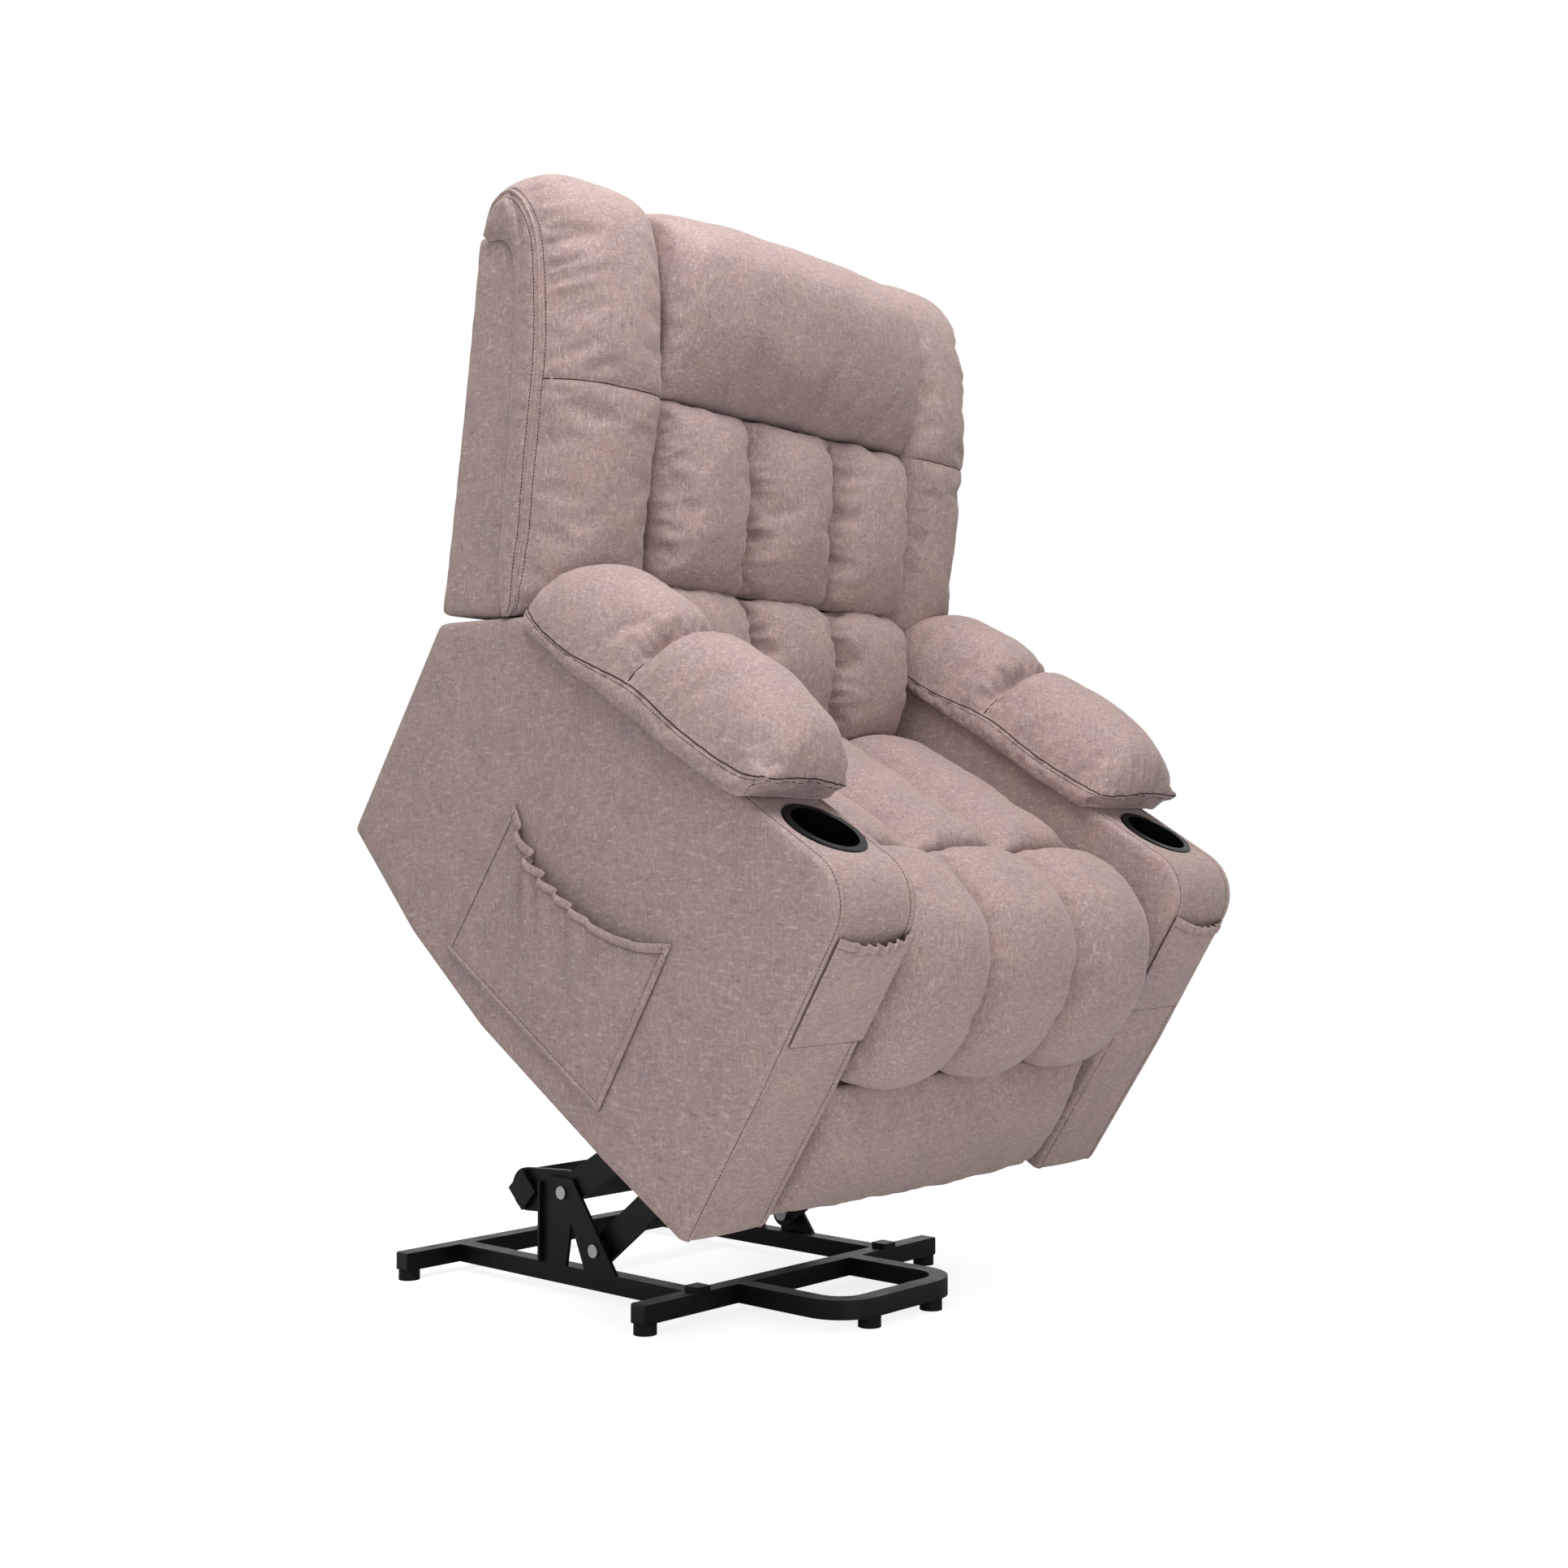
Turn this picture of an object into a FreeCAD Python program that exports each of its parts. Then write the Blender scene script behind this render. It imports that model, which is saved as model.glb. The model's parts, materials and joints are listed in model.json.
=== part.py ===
# Lift recliner chair, shown in its raised position: a steel base with two pairs of lift
# arms, a tilting seat frame with upholstered arms, a reclining back and a fold-out footrest.
# Millimetres and degrees. The floor is z = 0, +Z is up and the sitter faces -Y.
import FreeCAD, Part
import math
import os
import Sketcher

os.makedirs("parts", exist_ok=True)
doc = FreeCAD.newDocument("lift_recliner_chair")
sizes = doc.addObject("Spreadsheet::Sheet", "sizes")

driving = [
    # where the raised seat frame stands: the lower front edge of the arms
    ("frame_tilt", 31.3),
    ("frame_back", -225.5),
    ("frame_height", 161.7),
    # base
    ("bar_size", 25.0),
    ("bar_wall", 2.0),
    ("foot_height", 14.0),
    ("foot_diameter", 30.0),
    ("foot_inset", 12.0),
    ("crossbar_length", 593.0),
    ("front_bar_face", -41.0),
    ("rear_bar_face", 440.0),
    ("loop_width", 252.0),
    ("loop_reach", 184.0),
    ("loop_corner", 62.0),
    ("stop_height", 7.0),
    ("stop_size", 24.0),
    # towers and their pivots
    ("plate_thick", 5.0),
    ("upper_pivot_back", 220.0),
    ("upper_pivot_height", 138.0),
    ("lower_pivot_back", 155.0),
    ("lower_pivot_height", 67.0),
    ("tower_front_foot", 112.0),
    ("tower_rear_foot", 263.0),
    ("tower_top", 158.0),
    ("tower_flange", 12.0),
    ("tower_room", 14.0),
    # lift arms
    ("side_gap", 1.0),
    ("arm_bar_thick", 8.0),
    ("arm_bar_depth", 40.0),
    ("upper_arm_length", 360.0),
    ("upper_arm_rise", 30.6),
    ("lower_arm_length", 331.0),
    ("lower_arm_rise", 38.4),
    ("lower_mount_back", 163.0),
    ("lower_mount_height", 33.2),
    ("open_pivot_play", 3.0),
    ("cross_tube_size", 40.0),
    ("cross_tube_reach", 82.0),
    ("cross_tube_drop", 5.0),
    ("cross_tube_overhang", 9.0),
    ("crank_length", 148.2),
    ("crank_angle", 80.6),
    ("drive_tube_diameter", 28.0),
    ("pivot_diameter", 10.0),
    ("pivot_play", 0.08),
    ("head_diameter", 18.0),
    ("head_height", 6.0),
    ("boss_diameter", 26.0),
    ("lower_tube_reach", 75.0),
    # lift motor
    ("anchor_angle", 7.4),
    ("anchor_tube_diameter", 25.4),
    ("rod_diameter", 22.0),
    ("rod_length", 168.0),
    ("housing_length", 172.0),
    ("housing_diameter", 32.0),
    ("gearbox_size", 44.0),
    ("motor_diameter", 40.0),
    ("motor_length", 80.0),
    ("eye_wall", 6.5),
    ("eye_width", 26.0),
    ("thin_gap", 0.3),
    # seat frame
    ("link_room", 62.0),
    ("hinge_edge", 36.0),
    ("board_inset", 3.0),
    ("frame_low", 20.0),
    ("frame_top", 215.0),
    ("plate_heel", 90.0),
    ("plate_toe", 190.0),
    ("plate_rise", 30.0),
    ("hinge_cap", 22.0),
    ("hinge_side", 20.0),
    ("hinge_run", 50.0),
    ("plate_nose", 2.0),
    ("board_front", 36.0),
    ("board_thick", 20.0),
    ("board_height", 70.0),
    ("seat_room", 9.0),
    ("webbing_width", 440.0),
    ("webbing_thick", 2.0),
    ("box_length", 110.0),
    ("box_depth", 58.0),
    ("box_height", 52.0),
    ("box_side", 60.0),
    ("box_lift", 12.0),
    ("inlet_diameter", 11.0),
    ("inlet_depth", 14.0),
    # seat cushions, heights above the underside of the arms
    ("roll_back", 156.0),
    ("seat_depth", 492.0),
    ("seat_seam_height", 416.0),
    ("seat_crown", 26.0),
    ("roll_seam_reach", 14.0),
    ("roll_crown", 20.0),
    ("roll_bottom", 200.0),
    ("roll_swell", 125.0),
    ("roll_shoulder", 78.0),
    ("seat_rear_drop", 40.0),
    ("seat_front_rise", 10.0),
    ("seat_rear_round", 12.0),
    ("seat_rear_fall", 14.0),
    ("roll_toe", 8.0),
    ("roll_toe_rise", 5.0),
    ("roll_brow", 12.0),
    ("roll_brow_drop", 10.0),
    ("roll_top_rise", 11.0),
    ("channel_seam", 92.0),
    # arms
    ("span", 850.0),
    ("arm_width", 146.0),
    ("arm_height", 483.0),
    ("arm_rounding", 9.0),
    ("cover_thick", 12.0),
    ("arm_board", 15.0),
    ("arm_nose", 9.0),
    ("nose_height", 285.0),
    ("nose_run", 53.0),
    ("front_drop", 58.0),
    ("front_reach", 71.0),
    ("arm_rear", 777.0),
    ("rear_slope_run", 155.0),
    ("rear_slope_in", 30.0),
    ("rear_slope_drop", 73.0),
    ("rear_round", 24.0),
    ("rear_low", 83.0),
    ("heel_start", 399.0),
    ("pad_height", 111.0),
    ("pad_overhang", 14.0),
    ("pad_saddle", 12.0),
    ("pad_seam", 400.0),
    ("pad_rear", 604.0),
    ("pad_end", 22.0),
    ("pad_tip", 20.0),
    ("pad_tip_lift", 24.0),
    ("pad_room", 12.0),
    ("cup_back", 108.0),
    ("cup_rim", 108.0),
    ("cup_outer", 90.0),
    ("cup_wall", 2.5),
    ("cup_depth", 76.0),
    ("pocket_standoff", 22.0),
    ("pocket_wall", 2.5),
    ("pocket_front", 187.0),
    ("pocket_low", 47.0),
    ("pocket_length", 342.0),
    ("pocket_front_height", 238.0),
    ("pocket_draw", 10.0),
    ("front_pocket_standoff", 15.0),
    # back
    ("back_rake", 25.0),
    ("hinge_back", 604.0),
    ("hinge_rise", 52.0),
    ("upright_width", 50.0),
    ("upright_room", 50.0),
    ("back_rail_size", 30.0),
    ("back_rail_rise", 60.0),
    ("back_height", 756.0),
    ("head_depth", 249.0),
    ("wing_width", 171.0),
    ("row_seam", 265.0),
    ("row_channel_seam", 86.0),
    ("back_seam_depth", 116.0),
    ("row_bulge", 12.0),
    ("head_shoulder", 62.0),
    ("head_front", 24.0),
    ("head_front_rise", 14.0),
    ("head_step", 4.0),
    ("head_side_drop", 10.0),
    ("head_rear", 54.0),
    ("head_rear_round", 34.0),
    ("head_rear_drop", 8.0),
    ("head_rear_edge", 6.0),
    ("wing_roll", 48.0),
    ("wing_flat", 62.0),
    ("wing_edge", 16.0),
    ("wing_depth", 112.0),
    ("wing_brow_depth", 92.0),
    ("wing_edge_depth", 66.0),
    ("wing_crown", 26.0),
    ("wing_corner_drop", 12.0),
    ("wing_lift", 12.0),
    ("back_crown", 34.0),
    ("lumbar_reach", 182.0),
    ("lumbar_low", 58.0),
    ("lumbar_front", 60.0),
    ("lumbar_draw", 30.0),
    ("lumbar_rise", 6.0),
    ("cover_low", 206.0),
    ("cover_drop", 66.0),
    ("cover_depth", 77.0),
    ("cover_top_depth", 61.0),
    ("cover_inset", 4.0),
    ("cover_edge", 10.0),
    ("cover_rounding", 6.0),
    ("cover_front_rise", 8.0),
    # footrest
    ("link_back", 95.0),
    ("link_height", 165.0),
    ("link_length", 150.0),
    ("link_fold", 105.0),
    ("link_width", 24.0),
    ("torque_tube_diameter", 16.0),
    ("rivet_diameter", 12.0),
    ("panel_pivot_back", 46.0),
    ("panel_pivot_height", 150.0),
    ("panel_low", 5.0),
    ("panel_high", 190.0),
    ("panel_face", 12.0),
    ("panel_board", 18.0),
    ("panel_room", 8.0),
    ("panel_crown", 32.0),
    # handset
    ("handset_width", 44.0),
    ("handset_length", 140.0),
    ("handset_thick", 13.0),
    ("handset_inset", 163.0),
    ("handset_lift", 143.0),
    ("clip_thick", 2.4),
    ("clip_reach", 34.0),
    ("clip_width", 16.0),
    ("button_diameter", 16.0),
    ("button_travel", 1.5),
]
fitted = [
    # what follows from the sizes above and a clearance
    ("frame_half", "span / 2 - arm_width - link_room"),
    ("rail_span", "2 * (frame_half - tower_room)"),
    ("seat_half", "span / 2 - arm_width - seat_room"),
    ("panel_half", "seat_half - panel_room"),
    ("back_half", "span / 2"),
    ("wing_seam", "back_half - wing_width"),
    ("cover_top", "back_height - cover_drop"),
    ("head_seam", "back_height - head_depth"),
    ("upright_length", "cover_top - upright_room"),
    ("frame_front", "board_front - board_inset"),
    ("frame_rear", "hinge_back + hinge_edge"),
    ("hinge_height", "frame_top + hinge_rise"),
    ("pad_front", "cup_back + cup_rim / 2 + pad_room"),
    ("arm_shoulder", "arm_height - front_drop"),
    ("handset_back", "pocket_front + handset_inset"),
    ("handset_low", "pocket_low + handset_lift"),
]
for row, (name, value) in enumerate(driving + fitted, start=1):
    sizes.set("A%d" % row, name)
    sizes.set("B%d" % row, "=" + str(value))
    sizes.setAlias("B%d" % row, name)
doc.recompute()


def size(name):
    return float(sizes.get(name))


def radians(name):
    return math.radians(size(name))


def vector(x, y, z):
    return FreeCAD.Vector(x, y, z)


def turn(degrees):
    return FreeCAD.Rotation(vector(1, 0, 0), degrees)


def place(x=0.0, y=0.0, z=0.0, degrees=0.0):
    return FreeCAD.Placement(vector(x, y, z), turn(degrees))


# Frames. The seat frame's own axes run x to the sitter's left, y rearwards from the front
# of the arms, and z up from their underside. The back's axes start at its hinge.
on_floor = place()
on_frame = place(0, size("frame_back"), size("frame_height"), size("frame_tilt"))
on_back = on_frame.multiply(place(0, size("hinge_back"), size("hinge_height"), -size("back_rake")))
on_upper_arm = place(0, size("upper_pivot_back"), size("upper_pivot_height"), -size("upper_arm_rise"))
on_lower_arm = place(0, size("lower_pivot_back"), size("lower_pivot_height"), -size("lower_arm_rise"))

# The upper arm's far pivot, seen from the seat frame, and the crank pin square to the arm.
upper_mount = on_frame.inverse().multVec(on_upper_arm.multVec(vector(0, -size("upper_arm_length"), 0)))
crank_pin_on_arm = vector(0, size("crank_length") * math.cos(radians("crank_angle")) - size("upper_arm_length"),
                          size("crank_length") * math.sin(radians("crank_angle")))
crank_pin = on_upper_arm.multVec(crank_pin_on_arm)
crank_pin_on_frame = on_frame.inverse().multVec(crank_pin)
anchor = vector(0,
                upper_mount.y - size("crank_length") * math.cos(radians("anchor_angle")),
                upper_mount.z + size("crank_length") * math.sin(radians("anchor_angle")))
motor_run = crank_pin_on_frame - anchor
motor_length_now = math.hypot(motor_run.y, motor_run.z)
motor_slope = math.degrees(math.atan2(motor_run.z, motor_run.y))
on_motor = on_frame.multiply(place(0, anchor.y, anchor.z, motor_slope))

rail_outer = "sizes.rail_span / 2"
arm_outer_face = size("rail_span") / 2 - size("plate_thick") - size("side_gap")
lower_outer_face = arm_outer_face - size("arm_bar_thick") - 2 * size("side_gap")
boss_length = arm_outer_face - lower_outer_face + size("arm_bar_thick")
bar_low = size("foot_height")
bar_high = bar_low + size("bar_size")
frame_outer = size("frame_half") + size("plate_thick")
link_face = frame_outer + 2 * size("side_gap")
front_link_face = link_face + size("plate_thick") + size("head_height") + 2 * size("side_gap")
lug_face = front_link_face + size("plate_thick") + 1.5 * size("side_gap")
arm_inner = size("span") / 2 - size("arm_width")
board_top = size("frame_top") + size("board_height") + size("thin_gap")
cushion_low = board_top + size("webbing_thick") + size("thin_gap")
upright_front = size("upright_width") / 2
back_face = -(upright_front + size("thin_gap"))

made = {}


def keep(node, item):
    item.Label = node
    made[node] = item
    return item


def box(name, corner, lengths):
    item = doc.addObject("Part::Box", name)
    for axis, text in zip("xyz", corner):
        item.setExpression("Placement.Base." + axis, text)
    for side, text in zip(("Length", "Width", "Height"), lengths):
        item.setExpression(side, text)
    return item


def rod(name, diameter, length, start, axis=(1, 0, 0)):
    item = doc.addObject("Part::Cylinder", name)
    item.setExpression("Radius", "(%s) / 2" % diameter)
    item.setExpression("Height", length)
    spin = FreeCAD.Rotation(vector(0, 0, 1), vector(*axis))
    item.Placement = FreeCAD.Placement(start, spin)
    return item


def ball_end_bar(name, x, length, depth, thick, ends=2):
    """A flat bar from the local origin towards -y with round ends."""
    bar = doc.addObject("Part::Box", name + "_flat")
    bar.setExpression("Length", thick)
    bar.setExpression("Width", length)
    bar.setExpression("Height", depth)
    bar.Placement = place(x, 0, 0)
    bar.setExpression("Placement.Base.y", "-(%s)" % length)
    bar.setExpression("Placement.Base.z", "-(%s) / 2" % depth)
    pieces = [bar, rod(name + "_near", depth, thick, vector(x, 0, 0))]
    if ends == 2:
        far = rod(name + "_far", depth, thick, vector(x, 0, 0))
        far.setExpression("Placement.Base.y", "-(%s)" % length)
        pieces.append(far)
    return pieces


def fuse(name, pieces, frame=None):
    item = doc.addObject("Part::MultiFuse", name)
    item.Shapes = pieces
    item.Refine = True
    if frame is not None:
        item.Placement = frame
    return item


def cut(name, base, tool, frame=None):
    item = doc.addObject("Part::Cut", name)
    item.Base = base
    item.Tool = tool
    if frame is not None:
        item.Placement = frame
    return item


def group(name, pieces, frame=None):
    item = doc.addObject("Part::Compound", name)
    item.Links = pieces
    if frame is not None:
        item.Placement = frame
    return item


def plate_body(node, x, corners, holes, thick, frame):
    """A flat plate: a sketch in the y-z plane, padded along +x by its thickness."""
    body = doc.addObject("PartDesign::Body", node)
    plane = [item for item in body.Origin.OriginFeatures if item.Role == "YZ_Plane"][0]
    sketch = body.newObject("Sketcher::SketchObject", node + "_outline")
    sketch.AttachmentSupport = [(plane, "")]
    sketch.MapMode = "FlatFace"
    doc.recompute()
    spots = [(sheet_value(a), sheet_value(b)) for a, b in corners]
    for index, start in enumerate(spots):
        end = spots[(index + 1) % len(spots)]
        line = Part.LineSegment(vector(start[0], start[1], 0), vector(end[0], end[1], 0))
        sketch.addGeometry(line, False)
    for index in range(len(spots)):
        sketch.addConstraint(Sketcher.Constraint("Coincident", index, 2, (index + 1) % len(spots), 1))
    for index, corner in enumerate(corners):
        bind_point(sketch, index, 1, corner)
    for across, up, diameter in holes:
        circle = Part.Circle(vector(sheet_value(across), sheet_value(up), 0), vector(0, 0, 1),
                             sheet_value(diameter) / 2)
        ring = sketch.addGeometry(circle, False)
        bind_point(sketch, ring, 3, (across, up))
        number = sketch.addConstraint(Sketcher.Constraint("Diameter", ring, sheet_value(diameter)))
        sketch.setExpression("Constraints[%d]" % number, diameter)
    pad = body.newObject("PartDesign::Pad", node + "_pad")
    pad.Profile = sketch
    pad.setExpression("Length", thick)
    doc.recompute()
    body.Placement = frame.multiply(place(x, 0, 0))
    return body


def sheet_value(text):
    """The value of an expression of sheet cells, for a sketch's first drawing."""
    cell = doc.getObject("reader") or doc.addObject("App::FeaturePython", "reader")
    if "value" not in cell.PropertiesList:
        cell.addProperty("App::PropertyFloat", "value")
    cell.setExpression("value", text)
    cell.recompute()
    return float(cell.value)


def bind_point(sketch, geometry, point, spot):
    for kind, text in zip(("DistanceX", "DistanceY"), spot):
        number = sketch.addConstraint(Sketcher.Constraint(kind, -1, 1, geometry, point, sheet_value(text)))
        sketch.setExpression("Constraints[%d]" % number, text)


def outline(x, start, *runs):
    """A closed wire at one x. Each run is an end point, or a middle and an end of an arc."""
    edges = []
    here = vector(x, *start)
    for run in runs:
        if len(run) == 2:
            there = vector(x, *run)
            edges.append(Part.LineSegment(here, there).toShape())
        else:
            middle = vector(x, *run[:2])
            there = vector(x, *run[2:])
            edges.append(Part.Arc(here, middle, there).toShape())
        here = there
    edges.append(Part.LineSegment(here, vector(x, *start)).toShape())
    return Part.Wire(edges)


def soft(node, wires, frame, ruled=False):
    item = doc.addObject("Part::Feature", node)
    item.Shape = Part.makeLoft(wires, True, ruled)
    item.Placement = frame
    return keep(node, item)


def blend(low, high, share):
    return low + (high - low) * share


def square_tube(name, corner, lengths):
    """A square bar, hollow inside, with a wall at each end."""
    outer = box(name + "_outer", corner, lengths)
    inner_corner = ["(%s) + sizes.bar_wall" % text for text in corner]
    inner_lengths = ["(%s) - 2 * sizes.bar_wall" % text for text in lengths]
    inner = box(name + "_bore", inner_corner, inner_lengths)
    return cut(name, outer, inner)


def make_base():
    low = "sizes.foot_height"
    side = "sizes.bar_size"
    rail_run = "sizes.rear_bar_face - sizes.front_bar_face - sizes.bar_size"
    rail_start = "sizes.front_bar_face + sizes.bar_size"
    keep("base_rail_right", square_tube("base_rail_right", ["-(%s)" % rail_outer, rail_start, low],
                                        [side, rail_run, side]))
    keep("base_rail_left", square_tube("base_rail_left", ["%s - sizes.bar_size" % rail_outer, rail_start, low],
                                       [side, rail_run, side]))
    keep("base_rear_crossbar", square_tube("base_rear_crossbar",
                                           ["-sizes.crossbar_length / 2", "sizes.rear_bar_face", low],
                                           ["sizes.crossbar_length", side, side]))
    front = square_tube("front_bar", ["-sizes.crossbar_length / 2", "sizes.front_bar_face", low],
                        ["sizes.crossbar_length", side, side])
    stops = [box("stop_" + word, [text, "sizes.front_bar_face", "sizes.foot_height + sizes.bar_size"],
                 ["sizes.stop_size", "sizes.stop_size", "sizes.stop_height"])
             for word, text in (("right", "-sizes.rail_span / 2"),
                                ("left", "sizes.rail_span / 2 - sizes.stop_size"))]
    keep("base_front_crossbar", fuse("base_front_crossbar", [front] + stops))
    keep("base_front_loop", front_loop())
    keep("rubber_feet", rubber_feet())


def front_loop():
    """A bar bent forwards in a U with two round corners, closed at both ends."""
    half = size("loop_width") / 2 - size("bar_size") / 2
    face = size("front_bar_face")
    reach = face - size("loop_reach") + size("bar_size") / 2
    corner = size("loop_corner") - size("bar_size") / 2
    level = bar_low + size("bar_size") / 2
    ease = corner * (1 - math.sqrt(0.5))
    points = [vector(-half, face, level), vector(-half, reach + corner, level),
              vector(-half + corner, reach, level), vector(half - corner, reach, level),
              vector(half, reach + corner, level), vector(half, face, level)]
    first_turn = vector(-half + ease, reach + ease, level)
    second_turn = vector(half - ease, reach + ease, level)
    path = Part.Wire([
        Part.LineSegment(points[0], points[1]).toShape(),
        Part.Arc(points[1], first_turn, points[2]).toShape(),
        Part.LineSegment(points[2], points[3]).toShape(),
        Part.Arc(points[3], second_turn, points[4]).toShape(),
        Part.LineSegment(points[4], points[5]).toShape()])
    shapes = []
    for r in (size("bar_size") / 2, size("bar_size") / 2 - size("bar_wall")):
        corners = [vector(-half - r, face, level - r), vector(-half + r, face, level - r),
                   vector(-half + r, face, level + r), vector(-half - r, face, level + r)]
        section = Part.makePolygon(corners + [corners[0]])
        shapes.append(path.makePipeShell([section], True, False))
    item = doc.addObject("Part::Feature", "base_front_loop")
    item.Shape = shapes[0].cut(shapes[1])
    return item


def foot_spots():
    end = size("crossbar_length") / 2 - size("foot_inset")
    middle = size("bar_size") / 2
    front = size("front_bar_face") + middle
    rear = size("rear_bar_face") + middle
    loop_front = size("front_bar_face") - size("loop_reach") + middle
    loop_side = size("loop_width") / 2 - size("loop_corner")
    return [(-end, front), (end, front), (-end, rear), (end, rear),
            (-loop_side, loop_front), (loop_side, loop_front)]


def rubber_feet():
    feet = [rod("foot_%d" % number, "sizes.foot_diameter", "sizes.foot_height", vector(x, y, 0), (0, 0, 1))
            for number, (x, y) in enumerate(foot_spots())]
    return group("rubber_feet", feet)


def make_towers():
    foot = "sizes.foot_height + sizes.bar_size"
    corners = [("sizes.tower_front_foot", foot),
               ("sizes.lower_pivot_back + 20", foot),
               ("sizes.upper_pivot_back - 18", "sizes.upper_pivot_height - 38"),
               ("sizes.upper_pivot_back - 8", foot),
               ("sizes.tower_rear_foot", foot),
               ("sizes.tower_rear_foot - 4", "sizes.tower_top - 8"),
               ("sizes.tower_rear_foot - 14", "sizes.tower_top"),
               ("sizes.upper_pivot_back - 20", "sizes.tower_top")]
    holes = [("sizes.upper_pivot_back", "sizes.upper_pivot_height", "sizes.pivot_diameter + 2 * sizes.pivot_play"),
             ("sizes.lower_pivot_back", "sizes.lower_pivot_height", "sizes.pivot_diameter + 2 * sizes.pivot_play")]
    for word, x in (("right", -size("rail_span") / 2),
                    ("left", size("rail_span") / 2 - size("plate_thick"))):
        web = plate_body("tower_web_" + word, x, corners, holes, "sizes.plate_thick", on_floor)
        start = "sizes.rail_span / 2 - sizes.plate_thick"
        if word == "right":
            start = "-(%s) - sizes.tower_flange" % start
        flange = box("tower_flange_" + word, [start, "sizes.tower_rear_foot - 4", foot],
                     ["sizes.tower_flange", "4", "sizes.tower_top - 8 - sizes.foot_height - sizes.bar_size"])
        keep("tower_" + word, fuse("tower_" + word, [web, flange]))
    keep("tower_bolts", tower_bolts())


def rod_between(name, diameter, first, last, y, z):
    low, high = sorted((first, last))
    return rod(name, diameter, str(high - low), vector(low, y, z))


def pivot_bolt(name, side, inner, collar, outer, y, z):
    """A bolt along x: a nut inside the arms, a wider collar outside them, and a head."""
    tip = size("head_height")
    pieces = [rod_between(name + "_shank", "sizes.pivot_diameter", side * inner, side * outer, y, z),
              rod_between(name + "_nut", "sizes.head_diameter + 4", side * inner, side * (inner + tip), y, z),
              rod_between(name + "_head", "sizes.head_diameter", side * outer, side * (outer + tip / 2), y, z)]
    if collar is not None:
        pieces.append(rod_between(name + "_collar", "sizes.head_diameter", side * collar[0],
                                  side * collar[1], y, z))
    return fuse(name, pieces)


def nut_face():
    """How far out the nuts of the arm bolts start."""
    return lower_outer_face - size("arm_bar_thick") - size("side_gap") / 2 - size("head_height")


def tower_bolts():
    outer = size("rail_span") / 2 + size("side_gap") / 2
    bolts = []
    for word in ("upper", "lower"):
        for side in (-1, 1):
            bolts.append(pivot_bolt("tower_bolt_%s_%d" % (word, side + 1), side, nut_face(), None, outer,
                                    size(word + "_pivot_back"), size(word + "_pivot_height")))
    return group("tower_bolts", bolts)


def make_upper_arms():
    """Each upper arm: a bar to the seat frame, an ear for the cross tube and a crank."""
    hole = "sizes.pivot_diameter + 2 * sizes.pivot_play"
    ear_length = "sqrt(sizes.cross_tube_reach ^ 2 + sizes.cross_tube_drop ^ 2)"
    ear_turn = 180.0 - math.degrees(math.atan2(size("cross_tube_drop"), size("cross_tube_reach"))) \
        + size("upper_arm_rise")
    for word, side in (("right", -1), ("left", 1)):
        name = "upper_lift_arm_" + word
        x = -arm_outer_face if side < 0 else arm_outer_face - size("arm_bar_thick")
        main = ball_end_bar(name + "_main", x, "sizes.upper_arm_length", "sizes.arm_bar_depth",
                            "sizes.arm_bar_thick")
        ear = fuse(name + "_ear", ball_end_bar(name + "_ear_bar", x, ear_length,
                                               "sizes.cross_tube_size * 1.5", "sizes.arm_bar_thick"))
        ear.Placement = place(0, 0, 0, ear_turn)
        crank = fuse(name + "_crank", ball_end_bar(name + "_crank_bar", x, "sizes.crank_length",
                                                   "sizes.arm_bar_depth", "sizes.arm_bar_thick"))
        crank.Placement = place(0, -size("upper_arm_length"), 0, size("crank_angle") - 180.0)
        inside = arm_outer_face - boss_length
        near = [rod_between(name + "_near_" + part, width, side * inside, side * arm_outer_face, 0, 0)
                for part, width in (("boss", "sizes.boss_diameter"), ("hole", hole))]
        far = [rod_between(name + "_far_" + part, width, side * inside, side * arm_outer_face,
                           -size("upper_arm_length"), 0)
               for part, width in (("boss", "sizes.boss_diameter"), ("hole", hole))]
        solid = fuse(name + "_solid", main + [ear, crank, near[0], far[0]])
        tools = [near[1], far[1],
                 rod(name + "_tube_hole", "sizes.drive_tube_diameter + 2 * sizes.pivot_play",
                     "sizes.arm_bar_thick", vector(x, crank_pin_on_arm.y, crank_pin_on_arm.z)),
                 diamond(name + "_diamond", "sizes.cross_tube_size + 2 * sizes.pivot_play", x,
                         "sizes.arm_bar_thick")]
        keep(name, cut(name, solid, fuse(name + "_holes", tools), on_upper_arm))


def diamond(name, side_text, x, length_text):
    """A square bar along x, on its corner, at the cross tube's place behind the upper pivot."""
    bar = doc.addObject("Part::Box", name)
    bar.setExpression("Length", length_text)
    bar.setExpression("Width", side_text)
    bar.setExpression("Height", side_text)
    half = sheet_value(side_text) / 2
    centre = on_upper_arm.inverse().multVec(
        vector(0, size("upper_pivot_back") + size("cross_tube_reach"),
               size("upper_pivot_height") - size("cross_tube_drop")))
    on_corner = 45.0
    spin = turn(on_corner + size("upper_arm_rise"))
    bar.Placement = FreeCAD.Placement(vector(x, centre.y, centre.z) + spin.multVec(vector(0, -half, -half)), spin)
    return bar


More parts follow.
